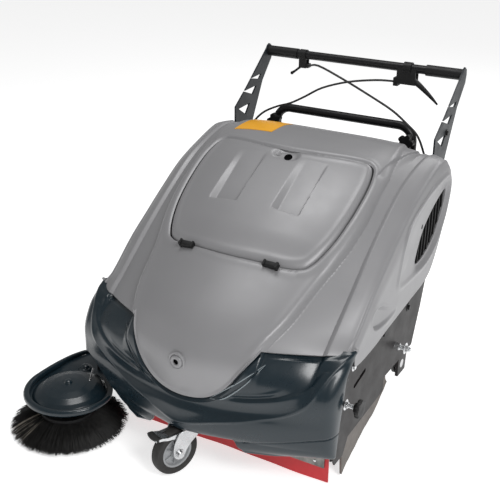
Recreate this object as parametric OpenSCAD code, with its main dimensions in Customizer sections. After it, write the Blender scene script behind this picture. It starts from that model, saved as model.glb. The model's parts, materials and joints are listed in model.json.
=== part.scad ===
// Walk-behind floor sweeper: hood, bumper, cylindrical main brush, side brush, hopper and handle.
// Modelled with +X to the machine's left, +Y to the rear and +Z up, in millimetres.

/* [Body] */
// Half width of the body
half_w = 368; // [360:1:375]
// Wall of the moulded shells
shell_t = 4; // [3:0.5:5]
// Gap round the lid
lid_gap = 2; // [1.5:0.5:3]
// Side plate thickness
plate_t = 4; // [3:0.5:4]

/* [Handle] */
// Height of the handle bar's centre
bar_z = 839; // [835:1:850]
// Radius of the handle bar
bar_r = 12.5; // [12:0.5:13]
// Radius of the grips
grip_r = 16; // [15:0.5:17]
// Radius of the control cables
cable_r = 3.2; // [2.5:0.1:3.5]

/* [Running gear] */
// Radius of the drive wheels
wheel_r = 125; // [120:1:125]
// Width of the drive wheels
wheel_w = 50; // [44:1:50]
// Radius of the caster wheel
caster_r = 62.5; // [60:0.5:62.5]
// Caster trail
caster_trail = 40; // [36:1:42]
// Rest angle of the caster
caster_yaw = -20.5; // [-30:0.5:0]

/* [Brushes] */
// Radius of the main brush
brush_r = 124; // [118:1:124]
// Half length of the main brush
brush_half = 310; // [280:1:310]
// Outer radius of the side brush
side_r = 158; // [145:1:160]

/* [Sockets] */
// Radius of the charger socket
charger_r = 9; // [6:0.5:12]
// Depth of the charger socket
charger_depth = 20; // [12:1:30]

/* [Hidden] */
$fn = 48;
run = 0.1;            // radial running clearance
bar_y = 1018;
side_c = [-368, 43];  // side brush spindle
swivel = [0, 62];     // caster swivel
brush_c = [345, 125]; // main brush axis, y and z
motor_c = [505, 250]; // motor and brush arm pivot, y and z
axle_c = [600, wheel_r];
stud_c = [184, 233];  // brush height stud
tie_c = [330, 264];   // tie rod between the brush arms
idler_p = [557, 238]; // belt idler pivot
flap_c = [172.5, 80]; // flap hinge
roller_c = [581.4, 209];
inner_x = 350;        // inner faces of the side plates
outer_x = inner_x + plate_t;
arm_x = 316;
arm_t = 8;
belt_x = 331;
belt_w = 8;
grip_out = 312;
end_y = bar_y + grip_r;
max_x = 408;
mid_x = (max_x + side_c[0] - side_r) / 2;
mid_y = (side_c[1] - side_r + end_y) / 2;

silver = [0.55, 0.56, 0.58];
petrol = [0.14, 0.22, 0.26];
dark = [0.12, 0.12, 0.13];
slate = [0.16, 0.20, 0.24];
frame_c = [0.22, 0.20, 0.20];
taupe = [0.42, 0.38, 0.36];
red = [0.80, 0.16, 0.17];
zinc = [0.72, 0.73, 0.74];
steel = [0.60, 0.60, 0.62];
bristle_c = [0.06, 0.06, 0.06];
bin_c = [0.30, 0.31, 0.33];

// ---- shared helpers ----
module placed(c) { color(c) translate([-mid_x, -mid_y, 0]) children(); }
module bothsides() { children(); mirror([1, 0, 0]) children(); }
module xcyl(r, x0, x1, yz) {
  translate([x0, yz[0], yz[1]]) rotate([0, 90, 0]) cylinder(r = r, h = x1 - x0);
}
module ycyl(r, y0, y1, xz) {
  translate([xz[0], y0, xz[1]]) rotate([-90, 0, 0]) cylinder(r = r, h = y1 - y0);
}
module box(x0, x1, y0, y1, z0, z1) { translate([x0, y0, z0]) cube([x1 - x0, y1 - y0, z1 - z0]); }
// a flat outline given in y and z, made into a plate from x0 to x1
module yzplate(x0, x1, pts) {
  translate([x0, 0, 0]) rotate([90, 0, 90]) linear_extrude(height = x1 - x0) polygon(pts);
}
// part of a ring round an axis along X, angles measured from +Y towards +Z
module xring(x0, x1, yz, r0, r1, a0, a1) {
  translate([x0, yz[0], yz[1]]) rotate([90, 0, 90]) rotate([0, 0, a0])
    rotate_extrude(angle = a1 - a0, $fn = 96) translate([r0, 0]) square([r1 - r0, x1 - x0]);
}
function lerp(a, b, f) = a + (b - a) * f;
function cr(p0, p1, p2, p3, f) = 0.5 * (2 * p1 + (p2 - p0) * f
  + (2 * p0 - 5 * p1 + 4 * p2 - p3) * f * f + (3 * p1 - p0 - 3 * p2 + p3) * f * f * f);
// smooth curve through a list of points, t counted in points
function curve(p, t) = let (n = len(p) - 1, i = min(n - 1, max(0, floor(t))))
  cr(p[max(0, i - 1)], p[i], p[i + 1], p[min(n, i + 2)], t - i);
function unit(v) = v / norm(v);
// closed shell between an outer and an inner grid of points
module grid_shell(o, i) {
  n = len(o);
  m = len(o[0]);
  k = n * m;
  pts = concat([for (r = o) for (p = r) p], [for (r = i) for (p = r) p]);
  top = [for (a = [0 : n - 2]) for (b = [0 : m - 2]) let (q = a * m + b)
    each [[q, q + 1, q + m + 1], [q, q + m + 1, q + m]]];
  bot = [for (f = top) [k + f[2], k + f[1], k + f[0]]];
  ends = [for (b = [0 : m - 2]) each [[b + 1, b, k + b], [b + 1, k + b, k + b + 1]]];
  tail = (n - 1) * m;
  ends2 = [for (b = [0 : m - 2]) let (q = tail + b)
    each [[q, q + 1, k + q + 1], [q, k + q + 1, k + q]]];
  sides = [for (a = [0 : n - 2]) let (q = a * m) each [[q, q + m, k + q + m], [q, k + q + m, k + q]]];
  sides2 = [for (a = [0 : n - 2]) let (q = a * m + m - 1)
    each [[q + m, q, k + q], [q + m, k + q, k + q + m]]];
  polyhedron(points = pts, faces = concat(top, bot, ends, ends2, sides, sides2), convexity = 6);
}
// bent tube through route points
module sweep(route, r, steps) {
  n = (len(route) - 1) * steps;
  sides = 8;
  pos = [for (i = [0 : n]) curve(route, i / steps)];
  dir = [for (i = [0 : n]) unit(pos[min(n, i + 1)] - pos[max(0, i - 1)])];
  pts = [for (i = [0 : n]) let (a = unit(cross(dir[i], [0.1, 0.9, 0.3])), b = cross(dir[i], a))
    for (j = [0 : sides - 1]) pos[i] + r * (cos(j * 360 / sides) * a + sin(j * 360 / sides) * b)];
  walls = [for (i = [0 : n - 1]) for (j = [0 : sides - 1])
    let (p = i * sides + j, q = i * sides + (j + 1) % sides) each [[p, p + sides, q + sides],
      [p, q + sides, q]]];
  cap0 = [for (j = [0 : sides - 1]) j];
  cap1 = [for (j = [sides - 1 : -1 : 0]) n * sides + j];
  polyhedron(points = pts, faces = concat(walls, [cap0, cap1]), convexity = 6);
}
// belt loop round two pulleys on axes along X
module belt_face(c0, r0, c1, r1) {
  hull() {
    translate(c0) circle(r = r0, $fn = 64);
    translate(c1) circle(r = r1, $fn = 64);
  }
}
module belt(x0, c0, r0, c1, r1) {
  gap = 0.7;
  t = 4;
  translate([x0, 0, 0]) rotate([90, 0, 90]) linear_extrude(height = belt_w) difference() {
    belt_face(c0, r0 + gap + t, c1, r1 + gap + t);
    belt_face(c0, r0 + gap, c1, r1 + gap);
  }
}
module star_knob(r, h) {
  cylinder(r = r * 0.72, h = h);
  for (k = [0 : 4]) rotate([0, 0, k * 72]) translate([r * 0.68, 0, 0]) cylinder(r = r * 0.32, h = h);
}

// ---- hood surface ----
centre_line = [[40, 217], [27, 262], [24, 320], [46, 370], [103, 424], [257, 512], [334, 566],
  [420, 617], [540, 676], [624, 699], [727, 700], [806, 684]];
side_line = [[204, 217], [190, 262], [188, 320], [208, 352], [262, 385], [335, 447], [403, 491],
  [482, 541], [571, 592], [672, 627], [760, 652], [806, 650]];
low_line = [[0, 0], [0, 0], [0, 0], [207, 345], [235, 310], [330, 308], [430, 320], [560, 334],
  [689, 350], [748, 396], [804, 496], [832, 585]];
last_t = 11;
seam_t = 3;           // where the tongue ends and the shoulders start
tongue_half = 177;
tongue_p = 2.1;       // roundness of the tongue's tip
shoulder = 0.92;      // share of the half width before the corner starts
drop = 38;            // corner height
function crown(t) = t < 3 ? 1.7 : t < 5 ? 1.7 + 0.15 * (t - 3) : 2 + (t - 5) * 0.35;
function face_pt(u, t) = let (c = curve(centre_line, t), s = curve(side_line, t),
  g = pow(u, crown(t))) [half_w * u, lerp(c[0], s[0], g), lerp(c[1], s[1], g)];
function wall_pt(t, f) = let (s = curve(side_line, t), l = curve(low_line, t))
  [half_w, lerp(s[0], l[0], f), lerp(s[1], l[1], f)];
function corner_f(t) = min(0.6, drop / norm(curve(low_line, t) - curve(side_line, t)));
function bez(a, b, c, f) = (1 - f) * (1 - f) * a + 2 * f * (1 - f) * b + f * f * c;
// one side of the hood: s runs from the centre line over the corner to the lower edge
function half_pt(s, t) = s <= 0.7 ? face_pt(s / 0.7 * shoulder, t)
  : s <= 0.88 ? bez(face_pt(shoulder, t), wall_pt(t, 0), wall_pt(t, corner_f(t)), (s - 0.7) / 0.18)
  : wall_pt(t, lerp(corner_f(t), 1, (s - 0.88) / 0.12));
function first_t(s) = s > 0.7 ? seam_t
  : seam_t * pow(min(1, half_w * s / 0.7 * shoulder / tongue_half), tongue_p);
function signed(a, p) = [a < 0 ? -p[0] : p[0], p[1], p[2]];
function hood_pt(a, t) = signed(a, half_pt(abs(a), t));
function hood_n(a, t) = let (e = 0.004, f = 0.02)
  unit(cross(hood_pt(min(1, a + e), t) - hood_pt(max(-1, a - e), t),
    hood_pt(a, min(last_t, t + f)) - hood_pt(a, max(0, t - f))));
function hood_grid(al, vl, off) = [for (a = al) [for (v = vl)
  let (t0 = first_t(abs(a)), t = lerp(t0, last_t, v)) hood_pt(a, t) - off * hood_n(a, t)]];
function steps(a, b, n) = [for (i = [0 : n]) lerp(a, b, i / n)];
function lid_grid(off) = [for (a = steps(-0.56, 0.56, 16)) [for (t = steps(4.2, 9.4, 18))
  hood_pt(a, t) - off * hood_n(a, t)]];
across = concat(steps(-1, -0.88, 2), [-0.84, -0.8, -0.76, -0.72], steps(-0.68, 0.68, 18),
  [0.72, 0.76, 0.8, 0.84], steps(0.88, 1, 2));
along = steps(0, 1, 24);
lid_side = [[120, 266], [165, 277], [186, 287], [200, 299], [218, 332], [233, 380], [242, 440], [245, 500],
  [243, 545], [236, 580], [230, 592], [220, 599], [206, 599], [130, 584], [75, 577]];
lid_outline = concat([[0, 254]], lid_side, [[0, 573]],
  [for (i = [len(lid_side) - 1 : -1 : 0]) [-lid_side[i][0], lid_side[i][1]]]);
vent_outline = [[800, 582], [760, 571], [718, 558], [656, 533], [606, 495], [592, 455], [594, 430],
  [617, 419], [668, 422], [734, 450], [778, 497], [804, 550]];

module hood_shell(al, vl) { grid_shell(hood_grid(al, vl, 0), hood_grid(al, vl, shell_t)); }
module hood() {
  placed(silver) difference() {
    hood_shell(across, along);
    translate([0, 0, 400]) linear_extrude(height = 400) offset(delta = lid_gap) polygon(lid_outline);
    bothsides() yzplate(half_w - 12, half_w + 10, vent_outline);
    ycyl(9.2, 0, 60, [0, 320]);
  }
}
module lid() {
  placed(silver) {
    difference() {
      intersection() {
        grid_shell(lid_grid(0), lid_grid(shell_t));
        translate([0, 0, 400]) linear_extrude(height = 400) polygon(lid_outline);
      }
      translate([0, 545, 672]) rotate([29, 0, 0]) cylinder(r1 = 10, r2 = 18, h = 14, center = true);
    }
    bothsides() hinge_knuckle();
  }
}
// hinge line: a pin over the hood just ahead of the lid's front edge
hinge_t = 4.9;
hinge_a = 121 / half_w / shoulder * 0.7;
hinge_y = hood_pt(hinge_a, hinge_t)[1];
hinge_z = hood_pt(hinge_a, hinge_t)[2] + 11;
hinge_tilt = 31.8;
module at_hinge(x) { translate([x, hinge_y, hinge_z]) rotate([hinge_tilt, 0, 0]) children(); }
module hinge_knuckle() {
  difference() {
    union() {
      xcyl(5.5, 108, 134, [hinge_y, hinge_z]);
      at_hinge(111) translate([0, 0, -6.3]) cube([22, 20, 5.3]);
      at_hinge(109) translate([0, 18, -12]) cube([24, 16, 11]);
    }
    xcyl(3.4, 107, 135, [hinge_y, hinge_z]);
  }
}
module lid_hinge_mounts() {
  placed(dark) bothsides() {
    xcyl(3, 101, 141, [hinge_y, hinge_z]);
    at_hinge(101) translate([0, -8, -4.6]) cube([5.5, 16, 10.1]);
    at_hinge(135.5) translate([0, -8, -9.6]) cube([5.5, 16, 15.1]);
  }
}
module hood_lock() {
  placed(zinc) difference() {
    union() {
      ycyl(9, 16, 42, [0, 320]);
      ycyl(13, 14, 20, [0, 320]);
    }
    box(-1.2, 1.2, 13, 18, 314, 326);
  }
}

// ---- bumper ----
bump_c = [[132, 30], [150, 22], [190, 20], [217, 32], [262, 20], [320, 17], [352, 34]];
bump_s = [[100, 142], [131, 119], [227, 119], [281, 128], [343, 182], [356, 205], [370, 225]];
bump_low = [[-368, 205], [-330, 194], [-280, 168], [-230, 128], [-185, 92], [-152, 84], [-142, 100],
  [-133, 132], [140, 132], [148, 108], [162, 93], [230, 94], [368, 110]];
bump_rear = [[100, 138], [131, 142], [242, 158], [311, 170], [343, 206], [370, 240]];
function seg(p, z, i) = lerp(p[i][1], p[i + 1][1], (z - p[i][0]) / (p[i + 1][0] - p[i][0]));
function look(p, z, i = 0) = z < p[i + 1][0] || i == len(p) - 2 ? seg(p, z, i) : look(p, z, i + 1);
function bump_top(u) = let (x = half_w * u, t = x > tongue_half ? seam_t
  : seam_t * pow(x / tongue_half, tongue_p)) face_pt(u, t)[2] - 3;
function lip(v) = v < 0.14 ? 16 * pow(1 - v / 0.14, 2) : 0;
function bump_front(u, sx, v) = let (z = lerp(bump_top(u), look(bump_low, sx * half_w * u), v),
  c = look(bump_c, z), s = look(bump_s, z)) [half_w * u, lerp(c, s, pow(u, 1.45)) + lip(v), z];
function bump_pt(a, v) = let (s = abs(a), sx = a < 0 ? -1 : 1) s <= 0.8
  ? signed(a, bump_front(s / 0.8 * 0.93, sx, v))
  : let (f = (s - 0.8) / 0.2, p = bump_front(0.93, sx, v) - [0, 0, 7 * f * (1 - v)],
      q = [half_w, look(bump_s, p[2]) - 3, p[2]],
      r = [half_w, max(q[1] + 8, look(bump_rear, p[2])), p[2]]) signed(a, bez(p, q, r, f));
function bump_n(a, v) = let (e = 0.004, f = 0.004)
  unit(cross(bump_pt(min(1, a + e), v) - bump_pt(max(-1, a - e), v),
    bump_pt(a, max(0, v - f)) - bump_pt(a, min(1, v + f))));
module front_bumper() {
  al = concat([-1, -0.95, -0.9, -0.85], steps(-0.8, 0.8, 26), [0.85, 0.9, 0.95, 1]);
  vl = concat([0, 0.06, 0.14], steps(0.24, 1, 8));
  o = [for (a = al) [for (v = vl) bump_pt(a, 1 - v)]];
  i = [for (a = al) [for (v = vl) bump_pt(a, 1 - v) - shell_t * bump_n(a, 1 - v)]];
  placed(petrol) grid_shell(o, i);
}

// ---- frame ----
top_edge = [[296, 378], [403, 446], [482, 496], [571, 548], [672, 588], [700, 592]];
left_outline = concat([[150, 250], [150, 100], [166, 66], [212, 66], [238, 106], [455, 116], [459, 157],
  [573, 156], [655, 160], [700, 262], [724, 332], [724, 345]], [for (i = [5 : -1 : 0]) top_edge[i]],
    [[232, 310], [176, 310]]);
right_outline = concat([[262, 240], [262, 107], [455, 116], [459, 157], [573, 156], [655, 160],
  [700, 262], [724, 332], [724, 345]], [for (i = [5 : -1 : 0]) top_edge[i]], [[250, 330]]);
pin_c = [298, 152];
module left_side_plate() {
  placed(frame_c) {
    difference() {
      yzplate(inner_x, outer_x, left_outline);
      xring(inner_x - 1, outer_x + 1, motor_c, 315, 328, 174, 186);
      for (p = [[262, 238], [320, 250]]) xcyl(6, inner_x - 1, outer_x + 1, p);
      translate([inner_x - 1, 262, 232]) rotate([11.7, 0, 0]) cube([plate_t + 2, 59.2, 12]);
      xcyl(10, inner_x - 1, outer_x + 1, [525, 219]);
    }
    xcyl(5, 338, inner_x + 1, idler_p);
  }
}
module right_side_plate() {
  placed(frame_c) {
    yzplate(-outer_x, -inner_x, right_outline);
    xcyl(8, -378, -outer_x + 1, pin_c);
    xcyl(12, -383, -378, pin_c);
  }
}
module front_cross_member() {
  placed(frame_c) difference() {
    union() {
      box(-300, inner_x, 174, 202, 136, 148);
      box(-48, 48, 48, 176, 141, 147);
      for (x = [-266, 340]) yzplate(x, x + 5, [[166, 72], [179, 72], [188, 140], [174, 140]]);
    }
    for (x = [-267, 339]) xcyl(4 + run, x, x + 7, flap_c);
    translate([swivel[0], swivel[1], 130]) cylinder(r = 6 + run, h = 30);
  }
}
module rear_cross_member() {
  placed(frame_c) difference() {
    box(-grip_out, grip_out, 692, 738, 572, 600);
    box(-grip_out - 1, grip_out + 1, 696, 734, 576, 601);
  }
}
module battery_tray() {
  placed(frame_c) {
    box(-inner_x, inner_x, 300, 540, 312, 316);
    box(-inner_x, inner_x, 300, 304, 316, 336);
    box(-inner_x, inner_x, 536, 540, 316, 336);
    for (x = [-100, 80]) box(x, x + 20, 500, 512, 298, 312);
  }
}
module debris_ramp() {
  placed(frame_c) xring(-222, 222, brush_c, brush_r + 4, brush_r + 7, -52, 38);
}
// rubber skirts: the lower edge rises towards the back
skirt_edge = [[325, 57], [402, 84], [458, 118], [500, 150]];
module side_skirts() {
  placed(taupe) {
    yzplate(inner_x - 5, inner_x, concat([[214, 150], [214, 6], [228, 14]], skirt_edge));
    yzplate(-inner_x, -inner_x + 5, concat([[262, 150], [262, 29]], skirt_edge));
  }
}
module rear_flap() {
  placed(dark) box(-222, 222, 462, 466, 4, 40);
}
module axle_bearings() {
  placed(frame_c) bothsides() difference() {
    yzplate(inner_x - 8, inner_x, [[574, 96], [626, 96], [640, 200], [574, 176]]);
    xcyl(12 + run, inner_x - 9, inner_x + 1, axle_c);
  }
}
module fasteners() {
  placed(steel) {
    for (p = [[247, 300], [204, 289], [430, 300], [600, 300], [640, 520]])
      for (s = [1, -1]) if (s > 0 || p[0] > 300) translate([s * outer_x, p[0], p[1]])
        rotate([0, s * 90, 0]) cylinder(r = 8, h = 6, $fn = 6);
    xcyl(9.8, inner_x - 3, outer_x + 6, [525, 219]);
    xcyl(6, outer_x + 6, 400, [525, 219]);
    bothsides() for (p = [[700, 590], [860, 600], [900, 700]])
      xcyl(7, 317.5, 322, p);
  }
}

// ---- handle ----
handle_outline = [[690, 570], [690, 612], [812, 648], [812, 704], [880, 752], [1000, 848], [1008, 857],
  [1018, 861], [1031, 852], [1034, 838], [1029, 815], [975, 755], [915, 640], [880, 570]];
module handle_plate() {
  difference() {
    yzplate(grip_out, grip_out + 5, handle_outline);
    for (p = [[[903, 773], [967, 776], [952, 762]], [[859, 742], [937, 745], [914, 722]],
        [[830, 694], [897, 698], [872, 668]]]) yzplate(grip_out - 1, grip_out + 6, p);
  }
}
module left_handle_plate() { placed(slate) handle_plate(); }
module right_handle_plate() { placed(slate) mirror([1, 0, 0]) handle_plate(); }
module handle_bar() { placed(dark) xcyl(bar_r, -grip_out, grip_out, [bar_y, bar_z]); }
module sleeve(x0, x1, r) {
  difference() {
    xcyl(r, x0, x1, [bar_y, bar_z]);
    xcyl(bar_r, x0 - 1, x1 + 1, [bar_y, bar_z]);
  }
}
module handle_grips() {
  placed(dark) {
    sleeve(-grip_out, -211, grip_r);
    sleeve(204, grip_out, grip_r);
  }
}
module flap_lever_mount() {
  placed(dark) {
    difference() {
      union() {
        xcyl(16, -203, -181, [bar_y, bar_z]);
        box(-203, -179, 1006, 1010, 800, 838);
        box(-203, -179, 1026, 1030, 800, 838);
      }
      xcyl(bar_r, -204, -178, [bar_y, bar_z]);
    }
    ycyl(3, 1009, 1027, [-193, 808]);
    box(-182, -172, 1008, 1028, 801, 813);
  }
}
module flap_lever() {
  placed(dark) {
    difference() {
      ycyl(8, 1011, 1025, [-193, 808]);
      ycyl(3.3, 1010, 1026, [-193, 808]);
    }
    translate([-193, 1012, 808]) rotate([0, 142, 0]) translate([6, 0, -4]) cube([42, 12, 6]);
  }
}
module drive_lever_mount() {
  placed(dark) {
    difference() {
      union() {
        xcyl(17, 136, 160, [bar_y, bar_z]);
        box(118, 176, 1005, 1009.5, 792, 838);
        box(118, 176, 1026.5, 1031, 792, 838);
      }
      xcyl(bar_r, 117, 177, [bar_y, bar_z]);
    }
    ycyl(4, 1009, 1027, [164, 806]);
    box(108, 122, 1007, 1029, 784, 808);
  }
}
module drive_lever() {
  placed(dark) {
    difference() {
      ycyl(11, 1010.5, 1025.5, [164, 806]);
      ycyl(4.3, 1010, 1026, [164, 806]);
    }
    translate([164, 1011, 806]) rotate([0, 37, 0]) translate([8, 0, -8]) cube([92, 14, 9]);
  }
}
flap_route = [[-171, 1010, 807], [-120, 972, 822], [-22, 940, 800], [80, 908, 771], [158, 888, 744],
  [208, 876, 716], [245, 867, 690], [270, 857, 650], [291, 845, 600], [298, 815, 550], [298, 745, 520]];
drive_route = [[107, 1012, 796], [70, 965, 804], [2, 920, 799], [-70, 902, 776], [-118, 886, 747],
  [-160, 876, 724], [-205, 868, 708], [-250, 860, 682], [-284, 850, 636], [-297, 825, 570], [-298, 745, 520]];
module flap_cable() { placed(dark) sweep(flap_route, cable_r, 4); }
module drive_cable() { placed(dark) sweep(drive_route, cable_r, 4); }

// ---- rear equipment ----
module control_panel() {
  placed(dark) difference() {
    box(-200, 200, 742, 845, 575, 668);
    box(-196, 196, 741, 820, 579, 669);
    ycyl(charger_r, 845 - charger_depth, 846, [60, 625]);
    ycyl(10, 815, 846, [-60, 625]);
  }
}
module key_switch() {
  placed(zinc) {
    ycyl(9.6, 822, 846, [-60, 625]);
    box(-62, -58, 845, 860, 613, 637);
  }
}
module batteries() {
  placed(dark) bothsides() {
    box(10, 190, 320, 485, 316, 480);
    for (x = [40, 160]) translate([x, 345, 480]) cylinder(r = 8, h = 14);
  }
}
module suction_fan_housing() {
  placed(dark) difference() {
    translate([0, 628, 604]) cylinder(r = 62, h = 62);
    translate([0, 628, 608]) cylinder(r = 58, h = 54);
    translate([0, 628, 600]) cylinder(r = 30, h = 20);
  }
}
module fan_impeller() {
  placed(zinc) {
    translate([0, 628, 612]) cylinder(r = 52, h = 4);
    translate([0, 628, 616]) cylinder(r = 12, h = 36);
    for (k = [0 : 8]) translate([0, 628, 616]) rotate([0, 0, k * 40]) translate([20, -1.5, 0])
      cube([30, 3, 30]);
  }
}
module panel_filter() {
  placed(taupe) difference() {
    box(-180, 180, 570, 686, 566, 602);
    for (k = [0 : 10]) box(-168 + k * 31, -148 + k * 31, 576, 680, 565, 590);
  }
}
module drive_motor() {
  placed(dark) difference() {
    union() {
      xcyl(44, -110, 110, motor_c);
      xcyl(13, -326, 326, motor_c);
      for (x = [-100, 80]) box(x, x + 20, 490, 512, 280, 298);
    }
    xcyl(8 + run, -327, 327, motor_c);
  }
}
module motor_shaft() {
  placed(steel) {
    xcyl(8, -342, 342, motor_c);
    bothsides() xcyl(20, belt_x, belt_x + belt_w, motor_c);
  }
}
module traction_belt() { placed(dark) belt(belt_x, motor_c, 20, axle_c, 25); }
module brush_belt() { placed(dark) belt(-belt_x - belt_w, motor_c, 20, brush_c, 28); }

// ---- main brush ----
arm_rear = [[330, 105], [347, 101], [365, 108], [508, 224], [527, 236], [530, 256], [516, 274], [494, 274],
  [478, 262], [372, 182], [346, 268], [340, 278], [322, 278]];
arm_plain = [[316, 268], [322, 160], [322, 118]];
arm_stud = [[314, 262], [318, 190], [200, 250], [184, 250], [168, 240], [168, 224], [180, 215], [322, 118]];
module brush_arm(stud) {
  difference() {
    yzplate(arm_x, arm_x + arm_t, concat(arm_rear, stud ? arm_stud : arm_plain));
    xcyl(13 + run, arm_x - 1, arm_x + arm_t + 1, motor_c);
    xcyl(10 + run, arm_x - 1, arm_x + arm_t + 1, brush_c);
    if (stud) xcyl(5 + run, arm_x - 1, arm_x + arm_t + 1, stud_c);
  }
}
module brush_arms() {
  placed(frame_c) {
    brush_arm(true);
    mirror([1, 0, 0]) brush_arm(false);
    xcyl(8, -arm_x - 2, arm_x + 2, tie_c);
  }
}
module main_brush_core() {
  placed(frame_c) {
    xcyl(45, -brush_half, brush_half, brush_c);
    xcyl(10, -342, 330, brush_c);
    xcyl(28, -belt_x - belt_w, -belt_x, brush_c);
  }
}
module main_brush_bristles() {
  placed(bristle_c) difference() {
    xcyl(brush_r, -brush_half, brush_half, brush_c, $fn = 96);
    xcyl(45, -brush_half - 1, brush_half + 1, brush_c);
  }
}
module height_knob() {
  placed(dark) {
    xcyl(5, arm_x, 392, stud_c);
    translate([390, stud_c[0], stud_c[1]]) rotate([0, 90, 0]) star_knob(23, max_x - 390);
  }
}

// ---- drive axle ----
module drive_axle() {
  placed(steel) {
    xcyl(12, -inner_x, inner_x, axle_c);
    xcyl(25, belt_x, belt_x + belt_w, axle_c);
  }
}
module wheel_hubs() {
  placed(dark) bothsides() difference() {
    union() {
      xcyl(98, 236, 270, axle_c);
      xcyl(30, 230, 282, axle_c);
    }
    xring(262, 271, axle_c, 32, 86, 0, 360);
    xcyl(12, 225, 285, axle_c);
  }
}
module wheel_tyres() {
  placed(bristle_c) bothsides() difference() {
    xcyl(wheel_r, 253 - wheel_w / 2, 253 + wheel_w / 2, axle_c, $fn = 96);
    xcyl(98, 220, 286, axle_c);
  }
}
module idler_arm() {
  placed(steel) {
    difference() {
      union() {
        xcyl(11, 340.5, 344.5, idler_p);
        translate([340.5, idler_p[0], idler_p[1]]) rotate([atan2(-30, 23), 0, 0])
          translate([0, 0, -8]) cube([4, 38, 16]);
      }
      xcyl(5 + run, 340, 345, idler_p);
    }
    xcyl(7, belt_x, 339.5, roller_c);
    xcyl(4, 339, 344.5, roller_c);
  }
}

// ---- hopper ----
module bin_body(w) {
  box(-285 + w, 285 - w, 560 + w, 880 - w, 268 + w, 560 + (w > 0 ? 1 : 0));
  box(-215 + w, 215 - w, 560 + w, 880 - w, 152 + w, 270 + w);
}
module hopper() {
  placed(bin_c) difference() {
    bin_body(0);
    bin_body(4);
    box(-205, 205, 555, 570, 158, 240);
  }
}
leg_x = 219;
leg_y = 904.5;
top_z = 700;
bend_r = 45;
knob_z = 662;
module hopper_handle() {
  placed(dark) {
    bothsides() {
      translate([leg_x, leg_y, 420]) cylinder(r = 12.5, h = top_z - bend_r - 420);
      translate([leg_x - bend_r, leg_y, top_z - bend_r]) rotate([90, 0, 0])
        rotate_extrude(angle = 90) translate([bend_r, 0]) circle(r = 12.5);
      for (z = [436, 526]) box(leg_x - 16, leg_x + 16, 880, 900, z, z + 24);
      difference() {
        box(201, 221, 884, 898, knob_z - 12, knob_z + 12);
        ycyl(5 + run, 883, 890, [211, knob_z]);
      }
    }
    xcyl(12.5, -leg_x + bend_r, leg_x - bend_r, [leg_y, top_z]);
  }
}
module hopper_knob() {
  ycyl(5, 880, 889.5, [211, knob_z]);
  translate([211, 882, knob_z]) rotate([90, 0, 0]) star_knob(24, 16);
}
module left_hopper_knob() { placed(dark) hopper_knob(); }
module right_hopper_knob() { placed(dark) mirror([1, 0, 0]) hopper_knob(); }

// ---- flap ----
module front_flap() {
  placed(red) {
    xcyl(4, -266, 345, flap_c);
    box(-255, 336, 171.5, 174.5, 3, 80);
  }
}
module flap_strip() {
  placed(steel) box(-255, 336, 168.5, 171.5, 44, 74);
}

// ---- caster ----
module at_caster() { translate([swivel[0], swivel[1], 0]) rotate([0, 0, caster_yaw]) children(); }
wheel_p = [-caster_trail, caster_r];
module caster_fork() {
  placed(zinc) at_caster() difference() {
    union() {
      translate([0, 0, 126.5]) cylinder(r = 30, h = 3.5);
      translate([0, 0, 130]) cylinder(r = 14, h = 10.5);
      translate([0, 0, 130]) cylinder(r = 6, h = 24);
      translate([0, 0, 147.5]) cylinder(r = 11, h = 7, $fn = 6);
      bothsides() {
        yzplate(20.5, 23.5, [[-54, 52], [-44, 46], [-28, 52], [18, 108], [18, 127], [-32, 127]]);
        box(0, 23.5, -32, 18, 126.5, 130);
        xcyl(3, 16.6, 21, [-16, 112]);
      }
    }
    xcyl(6, -30, 30, wheel_p);
  }
}
module caster_axle() {
  placed(steel) at_caster() {
    xcyl(5.9, -27, 27, wheel_p);
    xcyl(9, 24, 30, wheel_p);
    xcyl(9, -30, -24, wheel_p);
  }
}
module caster_tyre() {
  placed(bristle_c) at_caster() difference() {
    translate([0, wheel_p[0], wheel_p[1]]) rotate([0, 90, 0]) rotate_extrude($fn = 96)
      polygon([[48, -14], [caster_r - 4, -14], [caster_r - 1, -9], [caster_r, 0], [caster_r - 1, 9],
        [caster_r - 4, 14], [48, 14]]);
  }
}
module caster_rim() {
  placed(taupe) at_caster() translate([0, wheel_p[0], wheel_p[1]]) rotate([0, 90, 0])
    rotate_extrude($fn = 96)
      polygon([[6.1, -19], [16, -19], [17, -6], [36, -4], [40, -13], [48, -13], [48, 13], [40, 13],
        [36, 4], [17, 6], [16, 19], [6.1, 19]]);
}
module brake_pedal() {
  placed(zinc) at_caster() {
    bothsides() difference() {
      yzplate(17, 20, [[-8, 112], [-16, 104], [-70, 113], [-85, 119], [-105, 123], [-105, 128],
        [-85, 126], [-70, 121], [-16, 120]]);
      xcyl(3.2, 16, 21, [-16, 112]);
    }
    yzplate(-20, 20, [[-84, 119], [-105, 123], [-105, 128], [-84, 126]]);
  }
}

// ---- side brush ----
module at_side() { translate([side_c[0], side_c[1], 0]) children(); }
module side_brush_arm() {
  placed(dark) difference() {
    union() {
      yzplate(-371, -359, [[172, 104], [236, 104], [310, 138], [310, 166], [286, 166], [220, 128],
        [172, 118]]);
      xcyl(16, -373, -357, pin_c);
    }
    xcyl(8 + run, -374, -355, pin_c);
  }
}
cover_line = [[0, 132], [11, 132], [14, 127], [60, 121], [92, 112], [104, 106], [110, 112], [120, 112],
  [124, 104], [124, 94], [120, 94], [118, 104], [112, 104], [104, 98], [92, 104], [58, 114],
    [34, 120], [0, 120]];
module side_brush_cover() {
  placed(petrol) {
    at_side() rotate_extrude($fn = 96) polygon(cover_line);
    translate([0, 0, 96]) linear_extrude(height = 8)
      polygon([[-480, 80], [-474, 150], [-462, 205], [-440, 232], [-400, 240], [-358, 232], [-358, 168],
        [-300, 150], [-340, 158], [-420, 150]]);
    translate([-417, 170, 96]) cylinder(r = 24, h = 16);
  }
}
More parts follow.
